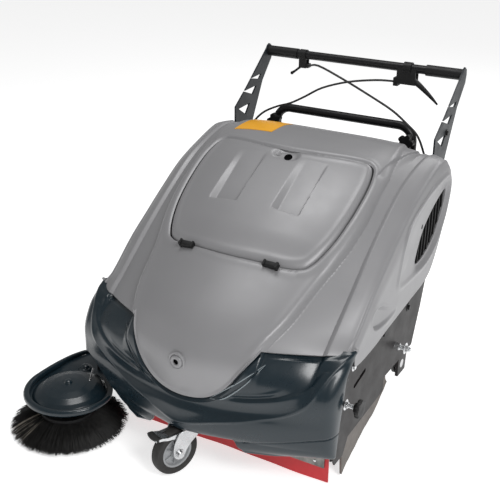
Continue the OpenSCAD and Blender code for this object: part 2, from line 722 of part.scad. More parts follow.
module side_brush_motor() {
  placed(dark) at_side() {
    translate([0, 0, 78]) cylinder(r = 33, h = 42);
  }
}
module side_brush_disc() {
  placed(dark) at_side() {
    translate([0, 0, 50]) cylinder(r = 74, h = 10);
    translate([0, 0, 60]) cylinder(r = 20, h = 16);
  }
}
module side_brush_bristles() {
  placed(bristle_c) at_side() rotate_extrude($fn = 96)
    polygon([[44, 50], [74, 50], [side_r, 7], [side_r - 4, 1], [side_r - 26, 1], [56, 38]]);
}

left_side_plate();
right_side_plate();
front_cross_member();
rear_cross_member();
battery_tray();
debris_ramp();
hood();
hood_lock();
front_bumper();
lid_hinge_mounts();
side_skirts();
rear_flap();
left_handle_plate();
right_handle_plate();
handle_bar();
handle_grips();
flap_lever_mount();
drive_lever_mount();
flap_cable();
drive_cable();
control_panel();
batteries();
suction_fan_housing();
panel_filter();
drive_motor();
axle_bearings();
fasteners();
traction_belt();
lid();
caster_fork();
caster_axle();
brake_pedal();
caster_tyre();
caster_rim();
side_brush_arm();
side_brush_cover();
side_brush_motor();
side_brush_disc();
side_brush_bristles();
brush_arms();
brush_belt();
main_brush_core();
main_brush_bristles();
motor_shaft();
height_knob();
drive_axle();
wheel_hubs();
wheel_tyres();
idler_arm();
hopper();
hopper_handle();
left_hopper_knob();
right_hopper_knob();
front_flap();
flap_strip();
flap_lever();
drive_lever();
fan_impeller();
key_switch();
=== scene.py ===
import bpy, bmesh, math, json, random
import numpy as np
from mathutils import Vector, Matrix


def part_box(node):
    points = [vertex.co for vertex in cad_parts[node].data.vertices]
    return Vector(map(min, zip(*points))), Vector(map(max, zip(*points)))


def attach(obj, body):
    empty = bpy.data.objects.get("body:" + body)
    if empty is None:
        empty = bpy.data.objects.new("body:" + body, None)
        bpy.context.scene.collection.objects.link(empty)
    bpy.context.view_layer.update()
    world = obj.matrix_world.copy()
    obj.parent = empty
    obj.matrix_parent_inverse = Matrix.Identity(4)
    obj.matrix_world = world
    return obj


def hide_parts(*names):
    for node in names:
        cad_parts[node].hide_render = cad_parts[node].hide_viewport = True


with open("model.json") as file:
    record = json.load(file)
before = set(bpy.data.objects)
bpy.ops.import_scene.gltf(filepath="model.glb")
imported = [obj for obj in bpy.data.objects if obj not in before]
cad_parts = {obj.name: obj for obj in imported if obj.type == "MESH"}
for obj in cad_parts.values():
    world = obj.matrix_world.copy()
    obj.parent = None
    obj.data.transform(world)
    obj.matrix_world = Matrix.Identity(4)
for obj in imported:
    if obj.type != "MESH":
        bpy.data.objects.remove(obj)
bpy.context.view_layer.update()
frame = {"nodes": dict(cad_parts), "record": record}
NODES = frame["nodes"]
SLOT_OF = {s["node"]: s["material_slot"] for s in frame["record"]["subparts"]}
BODY_OF = {n: b for b, ns in frame["record"]["behaviour"]["bodies"].items() for n in ns}
rng = np.random.default_rng(7)

# machine millimetres to the row frame
_lo, _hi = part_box("handle_bar")
CX = (_lo.x + _hi.x) / 2
CY = (_lo.y + _hi.y) / 2 - 1.018


def M(x, y, z):
    return Vector((x / 1000 + CX, y / 1000 + CY, z / 1000))


def MM(p):
    p = np.asarray(p, float) / 1000
    p[..., 0] += CX
    p[..., 1] += CY
    return p


# ---------------------------------------------------------------- camera
az, el, roll, focal = math.radians(30.0), math.radians(24.1), math.radians(0.5), 910.4
back = Vector((math.sin(az) * math.cos(el), -math.cos(az) * math.cos(el), math.sin(el)))
right = Vector((math.cos(az), math.sin(az), 0))
up = back.cross(right)
r = math.cos(roll) * right + math.sin(roll) * up
u = -math.sin(roll) * right + math.cos(roll) * up
cam_data = bpy.data.cameras.new("camera")
cam_data.sensor_width = 36
cam_data.lens = focal / 500 * 36
cam_data.clip_end = 100
cam = bpy.data.objects.new("camera", cam_data)
bpy.context.scene.collection.objects.link(cam)
rot = Matrix((r, u, back)).transposed()
cam.matrix_world = Matrix.Translation(M(1068.6, -1486.6, 1431.8)) @ rot.to_4x4()
bpy.context.scene.camera = cam

# ---------------------------------------------------------------- materials
_mats = {}


def finish(name, rgb, rough=0.4, metal=0.0, grain=900.0, grain_d=0.00003, mottle=7.0, mottle_amt=0.06,
           rough_var=0.06, coat=0.0, coat_rough=0.2, wear=0.0, wear_rgb=(0.5, 0.5, 0.5), dust=0.0,
           dust_rgb=(0.35, 0.33, 0.30), stretch=(1, 1, 1), spec=0.5, scratch=0.0, sheen=0.0):
    """A procedural finish: mottled colour, uneven gloss, fine grain, edge wear and settled dust."""
    if name in _mats:
        return _mats[name]
    m = bpy.data.materials.new(name)
    m.use_nodes = True
    nt = m.node_tree
    n, l = nt.nodes, nt.links
    p = n["Principled BSDF"]
    p.inputs["Metallic"].default_value = metal
    p.inputs["Specular IOR Level"].default_value = spec
    p.inputs["Coat Weight"].default_value = coat
    p.inputs["Coat Roughness"].default_value = coat_rough
    p.inputs["Sheen Weight"].default_value = sheen
    tc = n.new("ShaderNodeTexCoord")
    mp = n.new("ShaderNodeMapping")
    mp.inputs["Scale"].default_value = stretch
    l.new(tc.outputs["Object"], mp.inputs["Vector"])

    def noise(scale, detail=3.0, rough_=0.55):
        t = n.new("ShaderNodeTexNoise")
        t.inputs["Scale"].default_value = scale
        t.inputs["Detail"].default_value = detail
        t.inputs["Roughness"].default_value = rough_
        l.new(mp.outputs["Vector"], t.inputs["Vector"])
        return t.outputs["Fac"]

    def remap(src, a, b, lo=0.3, hi=0.7):
        t = n.new("ShaderNodeMapRange")
        t.inputs["From Min"].default_value = lo
        t.inputs["From Max"].default_value = hi
        t.inputs["To Min"].default_value = a
        t.inputs["To Max"].default_value = b
        l.new(src, t.inputs["Value"])
        return t.outputs["Result"]

    def mix(fac, c1, c2):
        t = n.new("ShaderNodeMix")
        t.data_type = "RGBA"
        for sock, c in ((t.inputs["A"] if False else t.inputs[6], c1), (t.inputs[7], c2)):
            if isinstance(c, (tuple, list)):
                sock.default_value = tuple(c)[:3] + (1,)
            else:
                l.new(c, sock)
        if isinstance(fac, float):
            t.inputs[0].default_value = fac
        else:
            l.new(fac, t.inputs[0])
        return t.outputs[2]

    dark = tuple(c * (1 - mottle_amt) for c in rgb)
    light = tuple(min(1, c * (1 + mottle_amt)) for c in rgb)
    col = mix(remap(noise(mottle, 4.0), 0, 1), dark, light)
    if wear > 0:
        g = n.new("ShaderNodeNewGeometry")
        e = remap(g.outputs["Pointiness"], 0, wear, 0.53, 0.62)
        mul = n.new("ShaderNodeMath")
        mul.operation = "MULTIPLY"
        l.new(e, mul.inputs[0])
        l.new(remap(noise(160, 5.0), 0, 1, 0.42, 0.62), mul.inputs[1])
        col = mix(mul.outputs[0], col, wear_rgb)
    if dust > 0:
        g = n.new("ShaderNodeNewGeometry")
        sep = n.new("ShaderNodeSeparateXYZ")
        l.new(g.outputs["Normal"], sep.inputs[0])
        mul = n.new("ShaderNodeMath")
        mul.operation = "MULTIPLY"
        l.new(remap(sep.outputs[2], 0, dust, 0.2, 1.0), mul.inputs[0])
        l.new(remap(noise(55, 6.0, 0.7), 0, 1, 0.4, 0.7), mul.inputs[1])
        col = mix(mul.outputs[0], col, dust_rgb)
    l.new(col, p.inputs["Base Color"])
    rf = remap(noise(mottle * 4.3, 5.0), max(0.02, rough - rough_var), min(1, rough + rough_var))
    l.new(rf, p.inputs["Roughness"])
    b = n.new("ShaderNodeBump")
    b.inputs["Strength"].default_value = 0.6
    b.inputs["Distance"].default_value = grain_d
    l.new(noise(grain, 2.0), b.inputs["Height"])
    last = b
    if scratch > 0:
        b2 = n.new("ShaderNodeBump")
        b2.inputs["Strength"].default_value = scratch
        b2.inputs["Distance"].default_value = 0.0004
        l.new(noise(18, 6.0, 0.5), b2.inputs["Height"])
        l.new(b.outputs["Normal"], b2.inputs["Normal"])
        last = b2
    l.new(last.outputs["Normal"], p.inputs["Normal"])
    _mats[name] = m
    return m


SILVER = finish("silver_shell", (0.262, 0.260, 0.268), rough=0.43, metal=0.15, grain=1100, grain_d=0.00003, mottle=3,
                mottle_amt=0.04, rough_var=0.05, coat=0.14, coat_rough=0.3, scratch=0.02)
PETROL = finish("petrol_shell", (0.0070, 0.0165, 0.0235), rough=0.30, grain=1300, grain_d=0.00002, mottle=4,
                mottle_amt=0.06, rough_var=0.05, coat=0.35, coat_rough=0.16, dust=0.02, scratch=0.02, spec=0.35)
FRAME = finish("frame_steel", (0.0125, 0.0108, 0.0112), rough=0.5, metal=0.05, grain=700, grain_d=0.00003, wear=0.1,
               wear_rgb=(0.06, 0.055, 0.055), dust=0.03, mottle=4, mottle_amt=0.1, spec=0.3)
SLATE = finish("slate_steel", (0.0055, 0.009, 0.0125), rough=0.42, metal=0.05, grain=800, grain_d=0.00003, wear=0.1,
               wear_rgb=(0.05, 0.06, 0.07), spec=0.35)
BLACKS = finish("black_steel", (0.005, 0.005, 0.006), rough=0.4, metal=0.05, grain=900, grain_d=0.00003, wear=0.1,
                wear_rgb=(0.06, 0.06, 0.06), spec=0.35)
BLACKP = finish("black_plastic", (0.007, 0.007, 0.0075), spec=0.35, rough=0.5, grain=1100, grain_d=0.00005)
BIN = finish("grey_bin", (0.075, 0.08, 0.085), rough=0.55, grain=800, grain_d=0.00006, dust=0.2)
ZINC = finish("zinc", (0.62, 0.63, 0.64), rough=0.28, metal=0.95, grain=260, grain_d=0.00004, mottle=38,
              mottle_amt=0.12, rough_var=0.1, wear=0.3, wear_rgb=(0.8, 0.8, 0.8))
STEEL = finish("steel", (0.56, 0.56, 0.57), rough=0.25, metal=1.0, grain=500, grain_d=0.00003, mottle=60,
               mottle_amt=0.1, rough_var=0.08)
TAUPE = finish("taupe_rubber", (0.135, 0.12, 0.108), rough=0.6, grain=500, grain_d=0.0001, mottle=20,
               mottle_amt=0.15, dust=0.2)
BLACKR = finish("black_rubber", (0.014, 0.014, 0.014), rough=0.6, grain=700, grain_d=0.00006)
RED = finish("red_rubber", (0.56, 0.016, 0.022), rough=0.5, grain=500, grain_d=0.00006, mottle=12, mottle_amt=0.1,
             dust=0.1)
TYRE = finish("tyre_rubber", (0.02, 0.019, 0.018), rough=0.72, grain=600, grain_d=0.0001, mottle=25,
              mottle_amt=0.2, dust=0.25, dust_rgb=(0.16, 0.15, 0.14))
RIM = finish("grey_rim", (0.30, 0.31, 0.32), rough=0.45, grain=800, grain_d=0.00004, dust=0.15)
BRISTLE = finish("bristle", (0.012, 0.0115, 0.011), rough=0.5, grain=900, grain_d=0.00005, mottle=90,
                 mottle_amt=0.5)
PALE = finish("bristle_pale", (0.42, 0.38, 0.32), rough=0.55, grain=900, grain_d=0.00005, mottle=90,
              mottle_amt=0.5)
# painted highlight: pale petrol standing for the bright lines along the slash edges, used on one side only
PETROL_PAINTED_HIGHLIGHT = finish("petrol_edge_painted_highlight", (0.20, 0.235, 0.255), rough=0.2, grain=900, grain_d=0.00001, coat=0.8, coat_rough=0.08, rough_var=0.03)
# painted shade: near-black, dull, almost specular-free finish standing for the shadow inside holes and openings
PAINTED_SHADE = finish("shadow_black", (0.0016, 0.0016, 0.0018), rough=0.9, grain=900, grain_d=0.00003, spec=0.04)
PAPER = finish("filter_paper", (0.6, 0.56, 0.45), rough=0.85, grain=500, grain_d=0.0001)
AMBER = finish("amber_label", (0.86, 0.40, 0.012), rough=0.35, grain=900, grain_d=0.00002, mottle=10,
               mottle_amt=0.05)
AMBER2 = finish("amber_label_dark", (0.55, 0.17, 0.008), rough=0.35, grain=900, grain_d=0.00002, mottle=10,
                mottle_amt=0.05)
SLOT_MAT = {"silver_shell": SILVER, "petrol_shell": PETROL, "frame_steel": FRAME, "slate_steel": SLATE,
            "black_steel": BLACKS, "black_plastic": BLACKP, "grey_bin": BIN, "zinc": ZINC, "steel": STEEL,
            "taupe_rubber": TAUPE, "black_rubber": BLACKR, "red_rubber": RED, "tyre_rubber": TYRE,
            "grey_rim": RIM, "bristle": BRISTLE, "filter_paper": PAPER}
for name, o in NODES.items():
    o.data.materials.clear()
    o.data.materials.append(SLOT_MAT[SLOT_OF[name]])
    for poly in o.data.polygons:
        poly.use_smooth = True
    o.data.set_sharp_from_angle(angle=math.radians(32))


# ---------------------------------------------------------------- mesh helpers
def mesh_obj(name, verts, faces, mat, body, sharp=32.0, mm=True):
    me = bpy.data.meshes.new(name)
    v = MM(verts) if mm else np.asarray(verts)
    me.from_pydata([tuple(p) for p in v], [], [tuple(int(i) for i in f) for f in faces])
    me.materials.append(mat)
    for poly in me.polygons:
        poly.use_smooth = True
    me.update()
    me.set_sharp_from_angle(angle=math.radians(sharp))
    o = bpy.data.objects.new(name, me)
    bpy.context.scene.collection.objects.link(o)
    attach(o, body)
    return o


def grid_quads(n, m, base=0, flip=False, wrap=False):
    out = []
    for i in range(n - 1):
        for j in range(m if wrap else m - 1):
            k = (j + 1) % m
            q = (base + i * m + j, base + i * m + k, base + (i + 1) * m + k, base + (i + 1) * m + j)
            out.append(q[::-1] if flip else q)
    return out


def shell_solid(outer, inner):
    """Closed solid between two grids (n, m, 3)."""
    n, m = outer.shape[:2]
    k = n * m
    verts = np.concatenate([outer.reshape(-1, 3), inner.reshape(-1, 3)])
    f = grid_quads(n, m) + grid_quads(n, m, k, True)
    for j in range(m - 1):
        f.append((j + 1, j, k + j, k + j + 1))
        q = (n - 1) * m + j
        f.append((q, q + 1, k + q + 1, k + q))
    for i in range(n - 1):
        q = i * m
        f.append((q, q + m, k + q + m, k + q))
        q = i * m + m - 1
        f.append((q + m, q, k + q, k + q + m))
    return verts, f


def tidy_normals(o):
    bm = bmesh.new()
    bm.from_mesh(o.data)
    bmesh.ops.recalc_face_normals(bm, faces=bm.faces)
    bm.to_mesh(o.data)
    bm.free()


def cut(obj, cutters, solver="EXACT", op="DIFFERENCE"):
    for c in cutters:
        mod = obj.modifiers.new("cut", "BOOLEAN")
        mod.operation = op
        mod.solver = solver
        mod.object = c
    bpy.context.view_layer.update()
    dg = bpy.context.evaluated_depsgraph_get()
    me = bpy.data.meshes.new_from_object(obj.evaluated_get(dg))
    obj.modifiers.clear()
    obj.data = me
    for c in cutters:
        bpy.data.objects.remove(c)


def prism_z(name, outline, z0, z1):
    n = len(outline)
    v = [(x, y, z0) for x, y in outline] + [(x, y, z1) for x, y in outline]
    f = [tuple(range(n))[::-1], tuple(range(n, 2 * n))] + [(i, (i + 1) % n, n + (i + 1) % n, n + i) for i in range(n)]
    return plain(name, v, f)


def prism_x(name, outline, x0, x1):
    n = len(outline)
    v = [(x0, y, z) for y, z in outline] + [(x1, y, z) for y, z in outline]
    f = [tuple(range(n))[::-1], tuple(range(n, 2 * n))] + [(i, (i + 1) % n, n + (i + 1) % n, n + i) for i in range(n)]
    return plain(name, v, f)


def plain(name, v, f):
    me = bpy.data.meshes.new(name)
    me.from_pydata([tuple(p) for p in MM(v)], [], f)
    bm = bmesh.new()
    bm.from_mesh(me)
    bmesh.ops.recalc_face_normals(bm, faces=bm.faces)
    bm.to_mesh(me)
    bm.free()
    o = bpy.data.objects.new(name, me)
    bpy.context.scene.collection.objects.link(o)
    return o


def smooth_loop(pts, n, closed=True):
    """Catmull-Rom through points, resampled evenly."""
    p = np.asarray(pts, float)
    k = len(p)
    out = []
    segs = k if closed else k - 1
    for i in range(segs):
        if closed:
            a, b, c, d = p[i - 1], p[i], p[(i + 1) % k], p[(i + 2) % k]
        else:
            a, b, c, d = p[max(0, i - 1)], p[i], p[i + 1], p[min(k - 1, i + 2)]
        for f in np.linspace(0, 1, 16, endpoint=False):
            out.append(0.5 * (2 * b + (c - a) * f + (2 * a - 5 * b + 4 * c - d) * f * f + (3 * b - a - 3 * c + d) * f ** 3))
    if not closed:
        out.append(p[-1])
    out = np.array(out)
    q = np.vstack([out, out[:1]]) if closed else out
    s = np.concatenate([[0], np.cumsum(np.linalg.norm(np.diff(q, axis=0), axis=1))])
    t = np.linspace(0, s[-1], n, endpoint=not closed)
    return np.stack([np.interp(t, s, q[:, i]) for i in range(q.shape[1])], 1)


def tube(name, pts, radius, mat, body, sides=16, n=None, closed_ends=True, mm=True):
    p = smooth_loop(pts, n or max(8, len(pts) * 10), False) if n != 0 else np.asarray(pts, float)
    t = np.gradient(p, axis=0)
    t /= np.linalg.norm(t, axis=1)[:, None]
    a = np.cross(t[0], [0.1, 0.9, 0.35])
    a /= np.linalg.norm(a)
    rings = []
    rad = np.broadcast_to(np.asarray(radius, float), (len(p),))
    for i in range(len(p)):
        a = a - t[i] * np.dot(a, t[i])
        a /= np.linalg.norm(a)
        b = np.cross(t[i], a)
        th = np.linspace(0, 2 * np.pi, sides, endpoint=False)[:, None]
        rings.append(p[i] + rad[i] * (np.cos(th) * a + np.sin(th) * b))
    v = np.concatenate(rings)
    f = grid_quads(len(p), sides, wrap=True)
    if closed_ends:
        f.append(tuple(range(sides))[::-1])
        f.append(tuple((len(p) - 1) * sides + i for i in range(sides)))
    return mesh_obj(name, v, f, mat, body, 40, mm)


def lathe(name, profile, origin, axis, mat, body, n=64, sharp=35.0):
    """Profile of (radius, height) pairs turned about an axis through origin."""
    ax = np.asarray(axis, float)
    ax /= np.linalg.norm(ax)
    ref = np.array([0, 0, 1.0]) if abs(ax[2]) < 0.9 else np.array([1.0, 0, 0])
    e1 = np.cross(ref, ax)
    e1 /= np.linalg.norm(e1)
    e2 = np.cross(ax, e1)
    th = np.linspace(0, 2 * np.pi, n, endpoint=False)
    rings = []
    for rr, h in profile:
        rings.append(np.asarray(origin) + h * ax + rr * (np.cos(th)[:, None] * e1 + np.sin(th)[:, None] * e2))
    v = np.concatenate(rings)
    f = grid_quads(len(profile), n, flip=True, wrap=True)
    if profile[0][0] > 0.01:
        f.append(tuple(range(n)))
    if profile[-1][0] > 0.01:
        f.append(tuple((len(profile) - 1) * n + i for i in range(n))[::-1])
    o = mesh_obj(name, v, f, mat, body, sharp)
    bm = bmesh.new()
    bm.from_mesh(o.data)
    bmesh.ops.remove_doubles(bm, verts=bm.verts, dist=1e-6)
    bmesh.ops.recalc_face_normals(bm, faces=bm.faces)
    bm.to_mesh(o.data)
    bm.free()
    return o


def smoothstep(x):
    x = np.clip(x, 0, 1)
    return x * x * (3 - 2 * x)


# ---------------------------------------------------------------- hood surface
HALF = 368.0
CENTRE = np.array([[40, 217], [27, 262], [24, 320], [46, 370], [103, 424], [257, 512], [334, 566], [420, 617],
                   [540, 676], [624, 699], [727, 700], [806, 684]], float)
SIDE = np.array([[204, 217], [190, 262], [188, 320], [208, 352], [262, 385], [335, 447], [403, 491], [482, 541],
                 [571, 592], [672, 627], [760, 652], [806, 650]], float)
LOW = np.array([[0, 0], [0, 0], [0, 0], [207, 345], [235, 310], [330, 308], [430, 320], [560, 334], [689, 350],
                [748, 396], [804, 496], [832, 585]], float)
LAST, SEAM, SHOULDER, DROP = 11.0, 3.0, 0.92, 38.0


def seam_at(x):
    """Where the hood ends above the bumper: a rounded tongue, a little wider on the machine's left."""
    w = np.where(x > 0, 186.0, 168.0)
    return SEAM * np.minimum(1, np.abs(x) / w) ** 2.5



def curve(p, t):
    n = len(p) - 1
    t = np.asarray(t, float)
    i = np.clip(np.floor(t).astype(int), 0, n - 1)
    f = (t - i)[..., None]
    a, b, c, d = p[np.maximum(i - 1, 0)], p[i], p[i + 1], p[np.minimum(i + 2, n)]
    return 0.5 * (2 * b + (c - a) * f + (2 * a - 5 * b + 4 * c - d) * f * f + (3 * b - a - 3 * c + d) * f ** 3)


def crown(t):
    return np.where(t < 3, 1.7, np.where(t < 5, 1.7 + 0.15 * (t - 3), 2 + (t - 5) * 0.35))


def face_pt(uu, t):
    c, s = curve(CENTRE, t), curve(SIDE, t)
    g = np.power(np.maximum(uu, 0), crown(t))[..., None]
    yz = c + (s - c) * g
    return np.concatenate([(HALF * uu)[..., None], yz], -1)


def wall_pt(t, f):
    s, l = curve(SIDE, t), curve(LOW, t)
    yz = s + (l - s) * f[..., None]
    return np.concatenate([np.full(t.shape + (1,), HALF), yz], -1)


def hood_half(s, t):
    """s 0..0.7 the face, 0.7..0.85 the corner, 0.85..1 the side wall."""
    s, t = np.broadcast_arrays(s, t)
    cf = np.minimum(0.6, DROP / np.linalg.norm(curve(LOW, t) - curve(SIDE, t), axis=-1))
    face = face_pt(np.minimum(s / 0.7 * SHOULDER, SHOULDER), t)
    f = np.clip((s - 0.7) / 0.15, 0, 1)[..., None]
    a, b, c = face_pt(np.full(t.shape, SHOULDER), t), wall_pt(t, np.zeros(t.shape)), wall_pt(t, cf)
    corner = (1 - f) ** 2 * a + 2 * f * (1 - f) * b + f * f * c
    wall = wall_pt(t, cf + (1 - cf) * np.clip((s - 0.85) / 0.15, 0, 1))
    out = np.where((s <= 0.7)[..., None], face, np.where((s <= 0.85)[..., None], corner, wall))
    return out


A_LINE = np.array([[0, .40], [1.2, .42], [2.0, .46], [2.9, .52], [3.6, .565], [4.2, .62], [5.3, .705], [6.2, .75], [7, .772],
                   [8.4, .765], [9.3, .73], [10.2, .69], [11, .66]])


def relief(uu, t):
    """Height along the normal: raised tongue with a rolled edge, valley beside it, raised shoulder band."""
    a = np.interp(t, A_LINE[:, 0], A_LINE[:, 1])
    w = np.interp(t, [2, 3, 5, 8, 11], [.045, .055, .055, .045, .03])
    d1 = np.interp(t, [0, 1.6, 3, 8, 9.5, 11], [0, 3, 12, 11, 8, 7])
    k = np.clip((uu - (a - w)) / w, 0, 1)
    h = -d1 * (0.35 * k + 0.65 * k ** 2.2)
    h = h + 1.6 * np.exp(-((uu - (a - w * 1.15)) / (w * 0.55)) ** 2) * np.interp(t, [1.5, 3, 11], [0, 1, .5])
    d2 = np.interp(t, [0, 2.5, 3, 8, 9.5, 11], [0, 6, 9, 9, 7, 7])
    k = np.clip((uu - .845) / .022, 0, 1)
    h = h + d2 * (1 - (1 - k) ** 2)
    return h


def grid_normals(p):
    du = np.gradient(p, axis=0)
    dv = np.gradient(p, axis=1)
    nn = np.cross(du, dv)
    return nn / np.maximum(np.linalg.norm(nn, axis=-1), 1e-9)[..., None]


LID_SIDE = [(120, 266), (165, 277), (186, 287), (200, 299), (218, 332), (233, 380), (242, 440), (245, 500),
            (243, 545), (236, 580), (230, 592), (220, 599), (206, 599), (130, 584), (75, 577)]
LID_OUTLINE = smooth_loop([(0, 254)] + LID_SIDE + [(0, 573)] + [(-x, y) for x, y in LID_SIDE[::-1]], 260)


def outline_dist(x, y, loop):
    """Signed distance to a closed loop, positive inside."""
    a = loop
    b = np.roll(loop, -1, axis=0)
    px, py = x.ravel(), y.ravel()
    best = np.full(px.shape, 1e9)
    inside = np.zeros(px.shape, bool)
    for (ax, ay), (bx, by) in zip(a, b):
        dx, dy = bx - ax, by - ay
        q = np.clip(((px - ax) * dx + (py - ay) * dy) / (dx * dx + dy * dy + 1e-9), 0, 1)
        best = np.minimum(best, np.hypot(px - ax - q * dx, py - ay - q * dy))
        c = ((ay > py) != (by > py)) & (px < (bx - ax) * (py - ay) / (by - ay + 1e-12) + ax)
        inside ^= c
    return np.where(inside, best, -best).reshape(x.shape)


VENT = [(804, 578), (772, 573), (727, 557), (690, 538), (656, 515), (630, 484), (612, 450), (605, 430), (617, 419),
        (668, 422), (734, 450), (778, 497), (804, 550)]
VENT_RIM = [(800, 612), (781, 618), (720, 612), (647, 598), (555, 564), (506, 515), (482, 450), (478, 420), (510, 408),
            (604, 404), (680, 408), (744, 438), (790, 492), (814, 548), (818, 590)]
VENT_LOOP = smooth_loop(VENT, 140)
RIM_LOOP = smooth_loop(VENT_RIM, 140)
POCKET_LOOP = smooth_loop([(320, 385), (326, 404), (362, 410), (420, 384), (470, 356), (440, 346), (380, 346), (336, 358)], 80)


def build_hood():
    s = np.concatenate([np.linspace(0, 0.7, 132)[:-1], np.linspace(0.7, 0.85, 60)[:-1], np.linspace(0.85, 1, 50)])
    v = np.linspace(0, 1, 235)
    S, V = np.meshgrid(s, v, indexing="ij")
    halves = []
    for side in (-1, 1):
        t0 = np.where(S > 0.7, SEAM, seam_at(side * HALF * S / 0.7 * SHOULDER))
        T = t0 + (LAST - t0) * V
        halves.append((hood_half(S, T) * [side, 1, 1], T))
    full = np.concatenate([halves[0][0][::-1], halves[1][0][1:]], 0)
    Tf = np.concatenate([halves[0][1][::-1], halves[1][1][1:]], 0)
    Sf = np.concatenate([-S[::-1], S[1:]], 0)
    U = np.abs(Sf) / 0.7 * SHOULDER
    N = grid_normals(full)
    if N[N.shape[0] // 2, 150, 2] < 0:
        N = -N
    h = relief(np.minimum(U, SHOULDER), Tf)
    x, y = full[..., 0], full[..., 1]
    top = (U < 0.8) & (full[..., 2] > 440)
    d = outline_dist(x, y, LID_OUTLINE)
    # rolled edge round the lid and a shallow seat for it
    h = np.where(top, h + 1.2 * np.exp(-((d + 14) / 6) ** 2) - 5 * smoothstep((d + 9) / 9), h)
    # rounding at the seam with the bumper and at the rear edge
    arc = V_full = np.concatenate([V[::-1], V[1:]], 0)
    h = h - 2.5 * (1 - np.sqrt(np.clip(1 - (1 - np.clip(arc / 0.006, 0, 1)) ** 2, 0, 1)))
    h = h - 6 * (1 - np.sqrt(np.clip(1 - (1 - np.clip((1 - arc) / 0.009, 0, 1)) ** 2, 0, 1)))
    # rounded crest following the edge of the tongue
    tongue = 1 - smoothstep((np.abs(x) - 150) / 50)
    h = h + tongue * (4.2 * np.exp(-((arc - 0.026) / 0.009) ** 2) - 3.5 * (1 - smoothstep((arc - 0.010) / 0.012)))
    # crest along the corner
    f = (np.abs(Sf) - 0.7) / 0.15
    rear = np.interp(full[..., 1], [300, 520, 800], [0.40, 0.36, 0.28])
    h = h + np.where(np.abs(Sf) > 0.69, 2.8 * np.where(f > rear, np.exp(-((f - rear) / 0.16) ** 2), np.exp(-((f - rear) / 0.07) ** 2)), 0)
    # step running back from the lid's corner
    edge_x = np.interp(y, [560, 600, 830], [246, 251, 281])
    h = h - np.where(top, 4.5 * smoothstep((np.abs(x) - edge_x) / 4) * smoothstep((y - 560) / 30) *
                     smoothstep((edge_x + 34 - np.abs(x)) / 30), 0)
    # side wall: lip round the vent, pocket ahead of it
    wall = np.abs(Sf) > 0.80
    dv = outline_dist(full[..., 1], full[..., 2], VENT_LOOP)
    dr = outline_dist(full[..., 1], full[..., 2], RIM_LOOP)
    part = np.clip(dr / (dr + np.maximum(-dv, 0) + 1e-6), 0, 1) * (dr > 0)
    lip = 3.5 * np.exp(-((dr + 2) / 7) ** 2) - 7.5 * smoothstep(part)
    h = np.where(wall, h + lip, h)
    dp = outline_dist(full[..., 1], full[..., 2], POCKET_LOOP)
    deep = np.clip((480 - full[..., 1]) / 130, 0, 1)
    h = np.where(wall, h - 8.5 * deep * smoothstep(dp / 9) + 1.2 * np.exp(-((dp + 2) / 5) ** 2), h)
    outer = full + N * h[..., None]
    n_, m_ = outer.shape[:2]
    q = outer[n_ // 2:n_ // 2 + 2, 150:152]
    outward = np.cross(q[1, 0] - q[0, 0], q[1, 1] - q[0, 0])[2] < 0
    o = mesh_obj("hood_shell", outer.reshape(-1, 3), grid_quads(n_, m_, flip=not outward), SILVER, "chassis",
                 26)
    centre = LID_OUTLINE.mean(0)
    grow = LID_OUTLINE + (LID_OUTLINE - centre) / np.linalg.norm(LID_OUTLINE - centre, axis=1)[:, None] * 2.4
    cutters = [prism_z("c1", grow, 430, 760)]
    shrink = VENT_LOOP + (VENT_LOOP.mean(0) - VENT_LOOP) / np.linalg.norm(VENT_LOOP.mean(0) - VENT_LOOP, axis=1)[:, None] * 3
    cutters += [prism_x("c2", shrink, 340, 385), prism_x("c3", shrink, -385, -340)]
    cut(o, cutters)
    o.data.materials.clear()
    o.data.materials.append(SILVER)
    for poly in o.data.polygons:
        poly.use_smooth = True
    o.data.set_sharp_from_angle(angle=math.radians(26))
    sol = o.modifiers.new("wall", "SOLIDIFY")
    sol.thickness = 0.0035
    sol.offset = -1
    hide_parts("hood")
    return o


# height of the hood over plan position, for pieces that lie on it
_us = np.linspace(0, SHOULDER, 120)
_ts = np.linspace(2.6, LAST, 500)
_tab = face_pt(*np.meshgrid(_us, _ts, indexing="ij"))
_rel = relief(*np.meshgrid(_us, _ts, indexing="ij"))


def on_hood(x, y, extra=0.0):
    x = np.asarray(x, float)
    y = np.asarray(y, float)
    uu = np.clip(np.abs(x) / HALF, 0, SHOULDER)
    k = uu / SHOULDER * (len(_us) - 1)
    i = np.clip(np.floor(k).astype(int), 0, len(_us) - 2)
    f = k - i
    zz = np.zeros(x.shape)
    flat_i, flat_f, flat_y = i.ravel(), f.ravel(), y.ravel()
    out = np.zeros(flat_y.shape)
    for q in range(len(flat_y)):
        a = np.interp(flat_y[q], _tab[flat_i[q], :, 1], _tab[flat_i[q], :, 2] + _rel[flat_i[q]])
        b = np.interp(flat_y[q], _tab[flat_i[q] + 1, :, 1], _tab[flat_i[q] + 1, :, 2] + _rel[flat_i[q] + 1])
        out[q] = a * (1 - flat_f[q]) + b * flat_f[q]
    return out.reshape(x.shape) + extra


hood = build_hood()

# ---------------------------------------------------------------- lid


